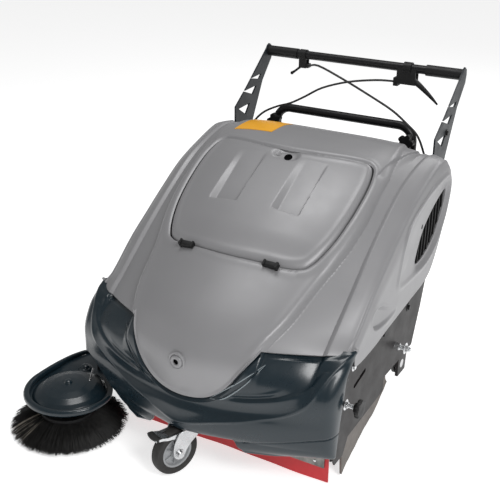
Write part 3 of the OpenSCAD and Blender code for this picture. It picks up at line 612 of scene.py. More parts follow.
def build_lid():
    centre = np.array([0.0, 430.0])
    rings = np.concatenate([np.linspace(0.02, 0.93, 110), np.linspace(0.935, 1.0, 22)])
    n = len(LID_OUTLINE)
    edge = centre + (LID_OUTLINE - centre) * 0.994
    xy = centre + rings[:, None, None] * (edge - centre)[None]
    z = on_hood(xy[..., 0], xy[..., 1])
    x, y = xy[..., 0], xy[..., 1]
    d = outline_dist(x, y, edge)
    z = z + 1.6 * np.exp(-((d - 12) / 7) ** 2) - 7.5 * (1 - np.sqrt(np.clip(1 - (1 - np.clip(d / 8, 0, 1)) ** 2, 0, 1)))
    # two long tapered recesses, deepest at their front ends, with a sloping outer wall and a steep inner one
    for x0, x1 in ((-138, -54), (46, 126)):
        slope = np.clip((x - x0) / 17, 0, 1) * np.clip((x1 - x) / 2.5, 0, 1)
        front = np.clip((y - 384) / 5, 0, 1)
        depth = 12 * np.clip((548 - y) / 160, 0, 1) ** 0.8
        z = z - depth * slope * front
    # dished thumb notch
    qx, qy = np.abs(x + 1) / 39, np.abs(y - 553) / 21
    rr = (qx ** 3.2 + qy ** 2.4) ** 0.36
    z = z - 8 * smoothstep((1.1 - rr) / 0.45)
    top = np.stack([x, y, z], -1)
    low = top[-1].copy()
    low[:, 2] -= 7
    low2 = low.copy()
    low2[:, :2] = centre + (low[:, :2] - centre) * 0.985
    under = top[::-1].copy()
    under[..., 2] -= 4
    under[..., :2] = centre + (under[..., :2] - centre) * 0.975
    allr = np.concatenate([top, low[None], low2[None], under])
    v = allr.reshape(-1, 3)
    f = grid_quads(len(allr), n, wrap=True)
    f.append(tuple(range(n))[::-1])
    k = (len(allr) - 1) * n
    f.append(tuple(k + i for i in range(n)))
    o = mesh_obj("lid_panel", v, f, SILVER, "lid_door", 30)
    tidy_normals(o)
    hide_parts("lid")
    zz = float(on_hood(np.array([6.0]), np.array([548.0]))[0])
    # painted shade: a shadow-black disc in the thumb notch standing for the dark inside of the notch
    o = lathe("thumb_notch_shade", [(0, -6.2), (9, -6.2), (11, -5), (11.6, -8), (0, -8)], (6, 549, zz), (0, -0.45, 0.89), PAINTED_SHADE,
              "lid_door", 40)
    for k_, (hx, hy) in enumerate(((-27, 556),)):
        hz_ = float(on_hood(np.array([float(hx)]), np.array([float(hy)]))[0])
        lathe("lid_catch_%d" % k_, [(0, -5.0), (4.5, -5.0), (7, -4.4), (8.6, -5.4), (8.6, -9), (0, -9)], (hx, hy, hz_),
              (0, -0.45, 0.89), SILVER, "lid_door", 32)
    return o


lid = build_lid()

# ---------------------------------------------------------------- bumper
def table(pts, n=240):
    return smooth_loop(pts, n, False)


BUMP_C = table([(132, 30), (150, 22), (190, 20), (217, 32), (262, 20), (320, 17), (352, 34)])
BUMP_S = table([(100, 142), (131, 119), (227, 119), (281, 128), (343, 182), (356, 205), (370, 225)])
BUMP_LOW = np.array([(-368, 205), (-330, 194), (-280, 168), (-230, 128), (-190, 92), (-157, 83), (-125, 94),
                     (-104, 101), (-94, 112), (-86, 132), (140, 132), (148, 108), (162, 93), (230, 94), (368, 110)], float)
BUMP_REAR = table([(100, 138), (131, 142), (242, 158), (311, 170), (343, 206), (370, 240)])


def look(tab, v):
    return np.interp(v, tab[:, 0], tab[:, 1])


def bump_pt(a, v):
    s = np.abs(a)
    uu = np.minimum(s, 0.8) / 0.8 * 0.93
    x = HALF * uu
    t = seam_at(np.sign(a) * x)
    top = face_pt(uu, t)[..., 2] - 1.5 + 8 * smoothstep((uu - .82) / .07)
    z = top + (look(BUMP_LOW, np.sign(a) * x) - top) * v
    y = look(BUMP_C, z) + (look(BUMP_S, z) - look(BUMP_C, z)) * uu ** 1.45
    p = np.stack([x, y, z], -1)
    q = np.stack([np.full(x.shape, HALF), look(BUMP_S, z) - 3, z], -1)
    rr = np.stack([np.full(x.shape, HALF), np.maximum(q[..., 1] + 8, look(BUMP_REAR, z)), z], -1)
    f = np.clip((s - 0.8) / 0.2, 0, 1)[..., None]
    out = (1 - f) ** 2 * p + 2 * f * (1 - f) * q + f * f * rr
    out[..., 0] *= np.where(a < 0, -1, 1)
    return out


def line_dist(x, z, line):
    """Signed distance to an open line, positive above it."""
    best = np.full(x.shape, 1e9)
    for (ax, az_), (bx, bz) in zip(line[:-1], line[1:]):
        dx, dz = bx - ax, bz - az_
        q = np.clip(((x - ax) * dx + (z - az_) * dz) / (dx * dx + dz * dz), 0, 1)
        best = np.minimum(best, np.hypot(x - ax - q * dx, z - az_ - q * dz))
    ln = np.asarray(line, float)
    return best * np.where(z > np.interp(x, ln[:, 0], ln[:, 1]), 1, -1)


CREASE = smooth_loop([(-60, 158), (15, 161), (97, 181), (180, 199), (254, 224), (304, 258), (326, 295), (343, 327), (366, 356)],
                     60, False)
SLASH = np.array([(78, 232), (200, 336), (166, 290), (118, 245)], float)
SCOOP = smooth_loop([(110, 244), (179, 252), (246, 270), (296, 296), (322, 330)], 40, False)


def bump_relief(x, z):
    ax = np.abs(x)
    d = line_dist(ax, z, CREASE)
    h = 6.5 * np.where(d > 0, np.exp(-(d / 13) ** 2), np.exp(-(d / 60) ** 2)) + 1.8 * np.exp(-(d / 4) ** 2)
    d = line_dist(ax, z, SCOOP)
    fade = smoothstep((ax - 105) / 50) * smoothstep((345 - ax) / 40)
    h = h - 9 * fade * np.where(d > 0, np.exp(-(np.abs(d) / 34) ** 1.5), np.exp(-(d / 5) ** 2))
    h = h + 2.5 * np.exp(-((d - 11) / 5) ** 2) * smoothstep((ax - 125) / 25) * smoothstep((255 - ax) / 30)
    d = outline_dist(ax, z, SLASH)
    h = h - 3 * smoothstep(d / 3 + 0.5)
    low = np.interp(ax, [136, 258, 366], [124, 150, 175])
    h = h - 1.6 * np.exp(-((z - low) / 1.8) ** 2) * smoothstep((x - 136) / 12)
    return h


def blade(name, pts, wide, tall, upv, mat, body, n=40, sides=20, power=3.0):
    """Sweep of a rounded rectangle whose two widths vary along the path."""
    p = smooth_loop(pts, n, False)
    t = np.gradient(p, axis=0)
    t /= np.linalg.norm(t, axis=1)[:, None]
    w_ = np.interp(np.linspace(0, 1, n), np.linspace(0, 1, len(wide)), wide)
    h_ = np.interp(np.linspace(0, 1, n), np.linspace(0, 1, len(tall)), tall)
    th = np.linspace(0, 2 * np.pi, sides, endpoint=False)
    c, s = np.cos(th), np.sin(th)
    cx = np.sign(c) * np.abs(c) ** (2 / power)
    cy = np.sign(s) * np.abs(s) ** (2 / power)
    rings = []
    for i in range(n):
        b = np.cross(t[i], upv)
        b /= np.linalg.norm(b)
        a = np.cross(b, t[i])
        rings.append(p[i] + cx[:, None] * w_[i] * b + cy[:, None] * h_[i] * a)
    f = grid_quads(n, sides, wrap=True)
    f.append(tuple(range(sides))[::-1])
    f.append(tuple((n - 1) * sides + i for i in range(sides)))
    o = mesh_obj(name, np.concatenate(rings), f, mat, body, 40)
    bm = bmesh.new()
    bm.from_mesh(o.data)
    bmesh.ops.recalc_face_normals(bm, faces=bm.faces)
    bm.to_mesh(o.data)
    bm.free()
    return o


def build_bumper():
    a = np.linspace(-1, 1, 421)
    v = np.concatenate([np.linspace(0, 0.05, 16)[:-1], np.linspace(0.05, 1, 160)])
    A, V = np.meshgrid(a, v, indexing="ij")
    P = bump_pt(A, V)
    N = grid_normals(P)
    if N[210, 80, 1] > 0:
        N = -N
    h = bump_relief(P[..., 0], P[..., 2]) * (1 - 0.4 * smoothstep(-P[..., 0] / 60))
    U = np.minimum(np.abs(A), 0.8) / 0.8 * 0.93
    t = seam_at(np.sign(A) * HALF * U)
    h = h + relief(U, t) * (1 - smoothstep(V / 0.34))
    tuck = (1 - smoothstep((V - 0.006) / 0.026)) * (1 - smoothstep((np.abs(A) - 0.80) / 0.1))
    h = h - 11 * tuck
    h = h - 4 * (1 - np.sqrt(np.clip(1 - (1 - np.clip((1 - V) / 0.03, 0, 1)) ** 2, 0, 1)))
    outer = P + N * h[..., None]
    outer[..., 2] += 9 * tuck
    inner = outer - N * 4.0
    verts, faces = shell_solid(outer, inner)
    o = mesh_obj("bumper_shell", verts, faces, PETROL, "chassis", 30)
    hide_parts("front_bumper")
    # moulded edges of the slash beside the tongue, laid on the shell; on the side tagged l they are painted a pale
    # petrol that stands for highlight lines along the edges, on the other side they stay plain petrol
    flat = outer.reshape(-1, 3)
    for side in (-1, 1):
        for k_, line in enumerate((SLASH[:2], SLASH[[1, 2, 3, 0]])):
            path = []
            for x_, z_ in smooth_loop([tuple(q) for q in line], 26, False):
                dist = (flat[:, 0] - side * x_) ** 2 + (flat[:, 2] - z_) ** 2
                near = np.argsort(dist)[:6]
                wt = 1 / (dist[near] + 0.2)
                path.append((side * x_, float((flat[near, 1] * wt).sum() / wt.sum()), z_))
            ys = np.convolve(np.pad([q[1] for q in path], 3, "edge"), np.ones(7) / 7, "valid")
            path = [(q[0], y_ - 0.2, q[2]) for q, y_ in zip(path, ys)]
            r_ = 1.9 if k_ == 0 else 1.6
            # pale painted highlight on the l side, plain petrol on the r side
            blade("slash_%s%d" % ("l" if side > 0 else "r", k_), path, [0.5, r_, r_, r_, 0.5], [0.5, r_, r_, r_, 0.5], (0, 1, 0),
                  PETROL_PAINTED_HIGHLIGHT if side > 0 else PETROL, "chassis", 60, 14, 2.0)


build_bumper()

# ---------------------------------------------------------------- side brush cover
SBX, SBY = -368.0, 43.0


def build_side_cover():
    body, slot = "side_brush_carrier", "petrol_shell"
    ang = np.radians(np.linspace(10, -178, 24))
    ring = [(-368 + 114 * math.cos(a), 56 + 114 * math.sin(a)) for a in ang] + \
           [(-481, 96), (-477, 140), (-469, 184), (-456, 220), (-440, 238)]
    pts = [(x, y, 104 + 0.012 * max(0, y)) for x, y in ring]
    blade("cover_rim", pts, [5, 8, 9, 9, 9, 9, 8, 7, 5], [6, 9, 9.5, 9.5, 9.5, 9, 9, 8, 6], (0, 0, 1), PETROL, body, 120, 24, 2.3)
    # dome with a valley just inside the rim and a tail running back to the pivot
    loop = smooth_loop([(-368 + 113 * math.cos(a), 56 + 113 * math.sin(a)) for a in np.radians(np.linspace(20, -176, 22))] +
                       [(-480, 100), (-475, 146), (-466, 188), (-452, 222), (-438, 237), (-404, 239), (-362, 231), (-350, 205),
                        (-345, 175), (-318, 156), (-284, 128)], 220)
    centre = np.array([-372.0, 52.0])
    k = np.concatenate([np.linspace(0.02, 0.93, 70), np.linspace(0.94, 1, 12)])
    xy = centre + k[:, None, None] * (loop - centre)[None]
    x, y = xy[..., 0], xy[..., 1]
    rr = np.hypot(x - SBX, (y - 53) * 0.97)
    tail = smoothstep((y - 110) / 60)
    dome = np.interp(rr, [0, 20, 45, 68, 84, 93, 97, 200], [129, 128.5, 125, 119, 111, 104, 98, 98])
    deck = 103 + 4 * np.exp(-((x + 412) / 30) ** 2)
    z = np.maximum(dome, (1 - tail) * 97 + tail * deck)
    z = z + 7 * smoothstep((22 - np.hypot(x + 399, y - 154)) / 8) * smoothstep((200 - rr) / 10)
    d = outline_dist(x, y, loop)
    z = z - 5 * (1 - smoothstep(d / 6)) * tail
    top = np.stack([x, y, z], -1)
    under = top[::-1].copy()
    under[..., 2] -= 3.2
    allr = np.concatenate([top, under])
    f = grid_quads(len(allr), 220, wrap=True)
    f.append(tuple(range(220))[::-1])
    f.append(tuple((len(allr) - 1) * 220 + i for i in range(220)))
    o = mesh_obj("cover_dome", allr.reshape(-1, 3), f, PETROL, body, 35)
    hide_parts("side_brush_cover")
    lathe("cover_boss", [(0, 137), (5, 136.6), (8.5, 134.5), (10, 131), (11.5, 129), (12, 126)], (SBX, SBY + 6, 0), (0, 0, 1),
          PETROL, body, 40)
    lathe("cover_boss_rear", [(0, 119), (7, 118), (11, 115), (13, 110), (13.5, 106)], (-399, 154, 0), (0, 0, 1), PETROL, body, 40)
    tube("lift_rod", [(-352, 132, 132), (-334, 97, 124), (-330, 88, 118)], 2.6, STEEL, body, 12)


build_side_cover()


# ---------------------------------------------------------------- bristles
def strands(name, roots, mids, tips, rad, mat, body):
    """One mesh of many tapering three-sided strands, each with its own ends."""
    n = len(roots)
    k = 5
    f = np.linspace(0, 1, k)[None, :, None]
    p = (1 - f) ** 2 * roots[:, None] + 2 * f * (1 - f) * mids[:, None] + f * f * tips[:, None]
    t = tips - roots
    t /= np.linalg.norm(t, axis=1)[:, None]
    a = np.cross(t, [0.13, 0.21, 0.97])
    a /= np.linalg.norm(a, axis=1)[:, None]
    b = np.cross(t, a)
    th = np.array([0, 2.094, 4.189])
    off = np.cos(th)[None, None, :, None] * a[:, None, None] + np.sin(th)[None, None, :, None] * b[:, None, None]
    w_ = rad * np.linspace(1, 0.55, k)[None, :, None, None]
    v = (p[:, :, None, :] + off * w_).reshape(-1, 3)
    faces = []
    for i in range(n):
        o = i * k * 3
        for j in range(k - 1):
            for c in range(3):
                d = (c + 1) % 3
                faces.append((o + j * 3 + c, o + j * 3 + d, o + j * 3 + 3 + d, o + j * 3 + 3 + c))
        faces.append((o, o + 2, o + 1))
        e = o + (k - 1) * 3
        faces.append((e, e + 1, e + 2))
    return mesh_obj(name, v, faces, mat, body, 60)


def side_brush_strands(count, spread, name, mat, rad, th0=0.0, th1=2 * math.pi, lift=0.0):
    tuft = rng.integers(0, 46, count)
    th = th0 + (th1 - th0) * (tuft + rng.normal(0, 0.34, count) + 0.5) / 46
    q = rng.uniform(0, 1, count)
    r0 = 49 + 23 * q
    r1 = 128 + 27 * q + rng.normal(0, spread, count)
    r1 = np.minimum(r1, 158)
    z1 = 2 + 9 * q + rng.uniform(0, 4, count) + lift
    sw = rng.normal(0, 0.035, count)

    def pt(r_, a_, z_):
        return np.stack([SBX + r_ * np.cos(a_), SBY + r_ * np.sin(a_), z_], 1)
    roots = pt(r0, th, np.full(count, 52.0))
    mids = pt(r0 + (r1 - r0) * 0.52, th + sw * 0.4, 52 - (52 - z1) * (0.36 - 0.1 * q))
    tips = pt(r1, th + sw, z1)
    return strands(name, roots, mids, tips, rad, mat, "side_brush")


o = side_brush_strands(4200, 2.6, "side_bristles", BRISTLE, 0.85)
lathe("side_bristle_root", [(50, 51), (72, 51), (98, 37), (138, 9), (126, 6), (96, 20), (58, 38)], (SBX, SBY, 0), (0, 0, 1),
      BRISTLE, "side_brush", 90)
side_brush_strands(46, 3.0, "side_bristles_worn", PALE, 0.6, math.radians(222), math.radians(258), 5.5)
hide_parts("side_brush_bristles")


def main_brush_tufts():
    cy, cz = 345.0, 125.0
    rows, per, each = 6, 74, 15
    roots, mids, tips = [], [], []
    for row in range(rows):
        for i in range(per):
            x = -306 + 612 * i / (per - 1)
            th = 2 * math.pi * row / rows + 1.9 * i / per
            n_ = each
            dx = rng.normal(0, 3.4, n_)
            da = rng.normal(0, 0.055, n_)
            rr = rng.uniform(117, 123.5, n_)
            roots.append(np.stack([np.full(n_, x) + dx * 0.3, cy + 44 * np.cos(th + da * 0.3), cz + 44 * np.sin(th + da * 0.3)], 1))
            mids.append(np.stack([x + dx * 0.6, cy + 84 * np.cos(th + da), cz + 84 * np.sin(th + da)], 1))
            tips.append(np.stack([x + dx, cy + rr * np.cos(th + da * 1.5), cz + rr * np.sin(th + da * 1.5)], 1))
    o_ = strands("main_bristles", np.concatenate(roots), np.concatenate(mids), np.concatenate(tips), 1.0, BRISTLE,
                 "main_brush")
    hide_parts("main_brush_bristles")


main_brush_tufts()

# ---------------------------------------------------------------- caster wheel
YAW = math.radians(-20.5)


def C3(x, y, z):
    c, s = math.cos(YAW), math.sin(YAW)
    return np.array([c * x - s * y, s * x + c * y + 62, z])


WHEEL = C3(0, -40, 62.5)
CAX = C3(1, 0, 0) - C3(0, 0, 0)


def ring_lathe(name, profile, origin, axis, mat, body, n=72, sharp=35):
    ax_ = np.asarray(axis, float) / np.linalg.norm(axis)
    ref = np.array([0, 0, 1.0]) if abs(ax_[2]) < 0.9 else np.array([1.0, 0, 0])
    e1 = np.cross(ref, ax_)
    e1 /= np.linalg.norm(e1)
    e2 = np.cross(ax_, e1)
    th = np.linspace(0, 2 * np.pi, n, endpoint=False)
    prof = list(profile) + [profile[0]]
    rings = [np.asarray(origin) + h * ax_ + r_ * (np.cos(th)[:, None] * e1 + np.sin(th)[:, None] * e2) for r_, h in prof]
    v = np.concatenate(rings)
    f = grid_quads(len(prof), n, wrap=True)
    o_ = mesh_obj(name, v, f, mat, body, sharp)
    bm = bmesh.new()
    bm.from_mesh(o_.data)
    bmesh.ops.remove_doubles(bm, verts=bm.verts, dist=1e-6)
    bmesh.ops.recalc_face_normals(bm, faces=bm.faces)
    bm.to_mesh(o_.data)
    bm.free()
    return o_


o = ring_lathe("caster_tread", [(42.5, -12.5), (48, -13.5), (54, -14), (59, -13), (61.6, -9.5), (62.4, -4), (62.4, 4), (61.6, 9.5), (59, 13),
                                (54, 14), (48, 13.5), (42.5, 12.5)], WHEEL, CAX, TYRE, "caster_wheel", 96)
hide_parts("caster_tyre")
o = ring_lathe("caster_rim_shell", [(10, -13), (15, -13), (17, -6), (22, -3.5), (31, -3), (35, -5), (37.5, -11), (42, -12.4),
                                    (42, 12.4), (37.5, 11), (35, 5), (31, 3), (22, 3.5), (17, 6), (15, 13), (10, 13)],
               WHEEL, CAX, RIM, "caster_wheel", 72)
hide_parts("caster_rim")
for i in range(7):
    a = 2 * math.pi * i / 7
    d = np.array([0, math.cos(a), math.sin(a)])
    e = C3(0, d[1], 0) - C3(0, 0, 0)
    dirv = e + np.array([0, 0, d[2]])
    blade("rim_rib_%d" % i, [WHEEL + dirv * 14, WHEEL + dirv * 25, WHEEL + dirv * 37], [9.5, 7, 8], [2, 1.6, 2],
          np.cross(dirv, CAX), RIM, "caster_wheel", 10, 12, 4)

# ---------------------------------------------------------------- small pieces
lx = np.array([(-222, 655), (-100, 652), (-104, 786), (-226, 790)], float)
gu, gv = np.meshgrid(np.linspace(0, 1, 26), np.linspace(0, 1, 26), indexing="ij")
P2 = ((1 - gu) * (1 - gv))[..., None] * lx[0] + (gu * (1 - gv))[..., None] * lx[1] + (gu * gv)[..., None] * lx[2] + \
    ((1 - gu) * gv)[..., None] * lx[3]
LX, LY = P2[..., 0], P2[..., 1]
LZ = on_hood(LX, LY)
v_, f_ = shell_solid(np.stack([LX, LY, LZ + 1.2], -1), np.stack([LX, LY, LZ + 0.1], -1))
mesh_obj("warning_plate", v_, f_, AMBER, "chassis", 40)

# latch on the nose: a dished ring round a square-drive hole, the hole's dark inside painted as a shadow-black plug
nose = np.array([0.0, 21.5, 320.0])
o = lathe("lock_ring", [(7.6, 7), (7.6, -2.4), (10.5, -3.4), (13, -3.2), (15, -1.8), (16.2, 0.2), (16.8, 3), (16.8, 7)],
          nose, (0, 1, 0), SILVER, "chassis", 48)
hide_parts("hood_lock")
# painted shade: shadow-black plug standing for the dark inside of the lock hole
lathe("lock_hole_shade", [(0, 1.2), (7.5, 1.0), (7.5, 7), (0, 7)], nose, (0, 1, 0), PAINTED_SHADE, "chassis", 32)
lathe("lock_seat", [(17.4, 7), (17.4, 1.2), (19.4, 0.2), (21.5, 0.6), (23, 2.2), (23, 7)], nose, (0, 1, 0), SILVER, "chassis",
      48)

# hinge blocks: two ears on the hood, one knuckle on the lid, the same rounded section
HJ = [j for j in frame["record"]["behaviour"]["joints"] if j["name"] == "lid_hinge"][0]["pos_m"]
hy, hz = (HJ[1] - CY) * 1000, HJ[2] * 1000
tilt = math.radians(31.8)
hn = np.array([0, -math.sin(tilt), math.cos(tilt)])
for side in (-1, 1):
    for nm, xa, xb, bd in (("ear_in", 101.2, 107.2, "chassis"), ("ear_out", 134.8, 140.8, "chassis"),
                           ("knuckle", 107.7, 134.3, "lid_door")):
        tag = nm + ("_l" if side > 0 else "_r")
        c_ = np.array([0, hy, hz]) - hn * 2.6
        blade("hinge_" + tag, [c_ + [side * q, 0, 0] for q in (xa, (xa + xb) / 2, xb)], [8.2, 8.4, 8.2],
              [6.2, 6.5, 6.2], tuple(hn), BLACKP, bd, 12, 28, 3.6)
# shadow-black sheets behind the side openings, painted shade for the dark inside, with louvre slats across them
for side in (-1, 1):
    loop = smooth_loop([(812, 604), (770, 602), (700, 584), (640, 556), (590, 505), (574, 455), (578, 415), (620, 398),
                        (680, 402), (752, 440), (800, 500), (822, 556)], 90)
    tag = "l" if side > 0 else "r"
    n_ = len(loop)
    v_ = [(side * 355.4, a_, b_) for a_, b_ in loop] + [(side * 354.4, a_, b_) for a_, b_ in loop]
    f_ = [tuple(range(n_)), tuple(range(n_, 2 * n_))[::-1]] + [(i, n_ + i, n_ + (i + 1) % n_, (i + 1) % n_) for i in range(n_)]
    # painted shade: a flat shadow-black sheet filling the opening
    o = mesh_obj("vent_shade_sheet_" + tag, v_, f_, PAINTED_SHADE, "chassis", 30)
    tidy_normals(o)
    for k_ in range(9):
        yy = 606 + k_ * 23
        col_in = [b_ for a_, b_ in loop if abs(a_ - yy) < 9]
        lo_, hi_ = min(col_in) + 14, max(col_in) - 14
        if hi_ - lo_ > 20:
            blade("vent_slat_%s%d" % (tag, k_), [(side * 355.9, yy, lo_), (side * 356.2, yy + 4, (lo_ + hi_) / 2),
                                                 (side * 355.9, yy, hi_)], [2.2, 2.4, 2.2], [1.4, 1.6, 1.4], (1, 0, 0), BLACKP,
                  "chassis", 10, 10, 3)

# levers on the bar
o = blade("flap_lever_blade", [(-190, 1018, 811), (-204, 1017, 799), (-217, 1015, 788), (-229, 1013, 779)], [5, 4, 3.5, 3.5, 4.5],
          [4.5, 3.5, 3, 3.2, 5], (0, 1, 0), BLACKP, "flap_control", 26, 20, 2.6)
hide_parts("flap_lever")
lathe("flap_lever_hub", [(0, -8), (7, -7.5), (8, -6), (8, 6), (7, 7.5), (0, 8)], (-193, 1018, 808), (0, 1, 0), BLACKP,
      "flap_control", 40)
lathe("flap_lever_tip", [(0, -5.2), (3.6, -4), (5.2, 0), (3.6, 4), (0, 5.2)], (-229, 1013, 779), (0, 1, 0), BLACKP,
      "flap_control", 24, 80)
o = blade("drive_lever_blade", [(160, 1018, 809), (186, 1018, 792), (212, 1018, 772), (232, 1018, 755), (245, 1018, 743)],
          [8, 8, 7, 6, 4.5, 2.5], [11, 8.5, 6.5, 5, 3.6, 2], (0, 1, 0), BLACKP, "drive_control", 40, 24, 2.8)
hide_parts("drive_lever")
lathe("drive_lever_hub", [(0, -8.5), (9.5, -8), (11, -6.5), (11, 6.5), (9.5, 8), (0, 8.5)], (164, 1018, 806), (0, 1, 0),
      BLACKP, "drive_control", 40)


def star_knob(name, origin, axis, r_, h0, h1, body, lobes=7, depth=0.1):
    ax_ = np.asarray(axis, float)
    ref = np.array([0, 0, 1.0])
    e1 = np.cross(ref, ax_)
    e1 /= np.linalg.norm(e1)
    e2 = np.cross(ax_, e1)
    n = 112
    th = np.linspace(0, 2 * np.pi, n, endpoint=False)
    lob = 1 - depth * (0.5 + 0.5 * np.cos(lobes * th)) ** 2.5
    prof = [(0.0, h0), (0.5, h0), (0.62, h0 + (h1 - h0) * .3), (0.94, h0 + (h1 - h0) * .36), (1.0, h0 + (h1 - h0) * .5),
            (1.0, h0 + (h1 - h0) * .82), (0.93, h0 + (h1 - h0) * .95), (0.6, h1), (0.2, h1 - 1.2), (0.0, h1 - 1.2)]
    rings = []
    for q, h in prof:
        rr = r_ * q * (lob if q > 0.7 else 1)
        rings.append(np.asarray(origin) + h * ax_ + (rr * np.cos(th))[:, None] * e1 + (rr * np.sin(th))[:, None] * e2)
    f = grid_quads(len(prof), n, wrap=True)
    o_ = mesh_obj(name, np.concatenate(rings), f, BLACKP, body, 35)
    bm = bmesh.new()
    bm.from_mesh(o_.data)
    bmesh.ops.remove_doubles(bm, verts=bm.verts, dist=1e-6)
    bmesh.ops.recalc_face_normals(bm, faces=bm.faces)
    bm.to_mesh(o_.data)
    bm.free()
    return o_


o = star_knob("height_star", (0, 184, 233), (1, 0, 0), 23, 390, 408, "height_lock")
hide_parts("height_knob")

# ---------------------------------------------------------------- hardware


def hexagon(name, c, axis, af, h, body, mat=ZINC, washer=True):
    """Hexagon head or nut on a washer, standing off along the axis from c."""
    ax_ = np.asarray(axis, float) / np.linalg.norm(axis)
    prof = []
    if washer:
        lathe(name + "_washer", [(0, 0), (af * 0.86, 0), (af * 0.9, 0.4), (af * 0.9, 1.2), (af * 0.86, 1.6), (0, 1.6)], c, ax_, mat,
              body, 32)
    base = 1.6 if washer else 0.0
    ref = np.array([0, 0, 1.0]) if abs(ax_[2]) < 0.9 else np.array([1.0, 0, 0])
    e1 = np.cross(ref, ax_)
    e1 /= np.linalg.norm(e1)
    e2 = np.cross(ax_, e1)
    n = 48
    th = np.linspace(0, 2 * np.pi, n, endpoint=False)
    fl = af / 2 / np.cos((th + np.pi / 6) % (np.pi / 3) - np.pi / 6)
    rings = []
    for q, z_ in ((0, base), (1, base), (1, base + h * 0.78)):
        rings.append(np.asarray(c) + z_ * ax_ + (q * fl * np.cos(th))[:, None] * e1 + (q * fl * np.sin(th))[:, None] * e2)
    for q, z_ in ((0.99, base + h * 0.92), (0.86, base + h), (0.0, base + h)):
        rr = np.minimum(fl, af / 2 * 1.07) * q
        rings.append(np.asarray(c) + z_ * ax_ + (rr * np.cos(th))[:, None] * e1 + (rr * np.sin(th))[:, None] * e2)
    o_ = mesh_obj(name, np.concatenate(rings), grid_quads(len(rings), n, wrap=True), mat, body, 30)
    bm = bmesh.new()
    bm.from_mesh(o_.data)
    bmesh.ops.remove_doubles(bm, verts=bm.verts, dist=1e-6)
    bmesh.ops.recalc_face_normals(bm, faces=bm.faces)
    bm.to_mesh(o_.data)
    bm.free()
    return o_


def threaded(name, c, axis, r_, length, body, pitch=1.6, mat=ZINC):
    n = int(length / pitch)
    prof = [(0, 0), (r_ * 0.9, 0)]
    for i in range(n):
        prof += [(r_, (i + 0.35) * pitch), (r_ * 0.84, (i + 0.85) * pitch)]
    prof += [(r_ * 0.8, length), (0, length)]
    return lathe(name, prof, c, axis, mat, body, 28, 60)


# bolts of the side plates and the handle, the long stop bolt and the height stud
first = None
for k_, (yy, zz, both) in enumerate([(247, 300, 0), (204, 289, 0), (430, 300, 1), (600, 300, 1), (640, 520, 1)]):
    for side in ((1, -1) if both else (1,)):
        m_ = ZINC if k_ == 0 else BLACKP
        o = hexagon("plate_bolt_%d%s" % (k_, "l" if side > 0 else "r"), (side * 354, yy, zz), (side, 0, 0), 13, 4.2, "chassis", m_)
        first = first or o
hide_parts("fasteners")
threaded("stop_bolt_thread", (360, 525, 219), (1, 0, 0), 6, 38, "chassis")
lathe("stop_bolt_sleeve", [(0, 354), (9.6, 354), (9.6, 366), (8.6, 367), (0, 367)], (0, 525, 219), (1, 0, 0), ZINC, "chassis", 40)
hexagon("stop_bolt_nut", (382, 525, 219), (1, 0, 0), 17, 8, "chassis")
for side in (1, -1):
    for k_, (yy, zz) in enumerate([(700, 590), (860, 600), (900, 700)]):
        hexagon("handle_bolt_%d%s" % (k_, "l" if side > 0 else "r"), (side * 317, yy, zz), (side, 0, 0), 12, 4, "chassis", BLACKP)
threaded("height_thread", (372, 184, 233), (1, 0, 0), 5.4, 20, "height_lock")
lathe("height_sleeve", [(0, 355.5), (7.6, 355.5), (7.6, 364), (6.6, 365), (5.6, 373), (0, 373)], (0, 184, 233), (1, 0, 0), ZINC,
      "height_lock", 36)
hexagon("height_nut", (366, 184, 233), (1, 0, 0), 15, 5, "height_lock")

# caster fork: two cheeks under a turned bearing head
CHEEK = smooth_loop([(-31, 127), (-44, 116), (-54, 96), (-58, 74), (-55, 58), (-46, 49), (-36, 48), (-27, 54), (-20, 66), (-6, 82),
                     (14, 96), (30, 112), (33, 127)], 72)
for side in (1, -1):
    pts = []
    for xx in (20.6, 23.6):
        for a_, b_ in CHEEK:
            spread = np.interp(b_, [60, 112, 127], [0, 0, 3.5])
            pts.append(C3(side * (xx + spread), a_, b_))
    n_ = len(CHEEK)
    f_ = [tuple(range(n_)), tuple(range(n_, 2 * n_))[::-1]] + [(i, n_ + i, n_ + (i + 1) % n_, (i + 1) % n_) for i in range(n_)]
    o = mesh_obj("fork_cheek_" + ("a" if side > 0 else "b"), np.array(pts), f_, ZINC, "caster_swivel_body", 30)
    tidy_normals(o)
    bv = o.modifiers.new("edge", "BEVEL")
    bv.width = 0.0007
    bv.segments = 2
    bv.limit_method = "ANGLE"
    if side > 0:
        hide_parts("caster_fork")
    hexagon("axle_nut_" + ("a" if side > 0 else "b"), C3(side * 23.6, -40, 62.5), C3(side, 0, 0) - C3(0, 0, 0), 14, 5.5, "caster_swivel_body")
# folded skirt joining the cheeks at the front and the head plate
cup = []
for zz, q in ((126.8, 1.0), (121, 1.02), (112, 0.98), (104, 0.9)):
    cup.append([C3(24 * math.sin(a_) * (1 if abs(math.sin(a_)) < 1 else 1), 8 + 30 * math.cos(a_) * q * -1 * -1, zz)
                for a_ in np.linspace(-1.45, 1.45, 28)])
cup = np.array(cup)
v_, f_ = shell_solid(cup, cup + (C3(0, -3, 0) - C3(0, 0, 0)))
o = mesh_obj("fork_web", v_, f_, ZINC, "caster_swivel_body", 30)
tidy_normals(o)
lathe("fork_head", [(0, 124.5), (27, 124.5), (30.5, 126), (31.5, 128), (30.5, 129.6), (27, 130), (0, 130)], C3(0, 0, 0), (0, 0, 1),
      ZINC, "caster_swivel_body", 56)
ring_lathe("bearing_race", [(19, 123.8), (24.5, 123.8), (26.5, 120.5), (25.5, 117), (21, 115.5), (17, 117), (17, 121)], C3(0, 0, 0),
           (0, 0, 1), ZINC, "caster_swivel_body", 48)
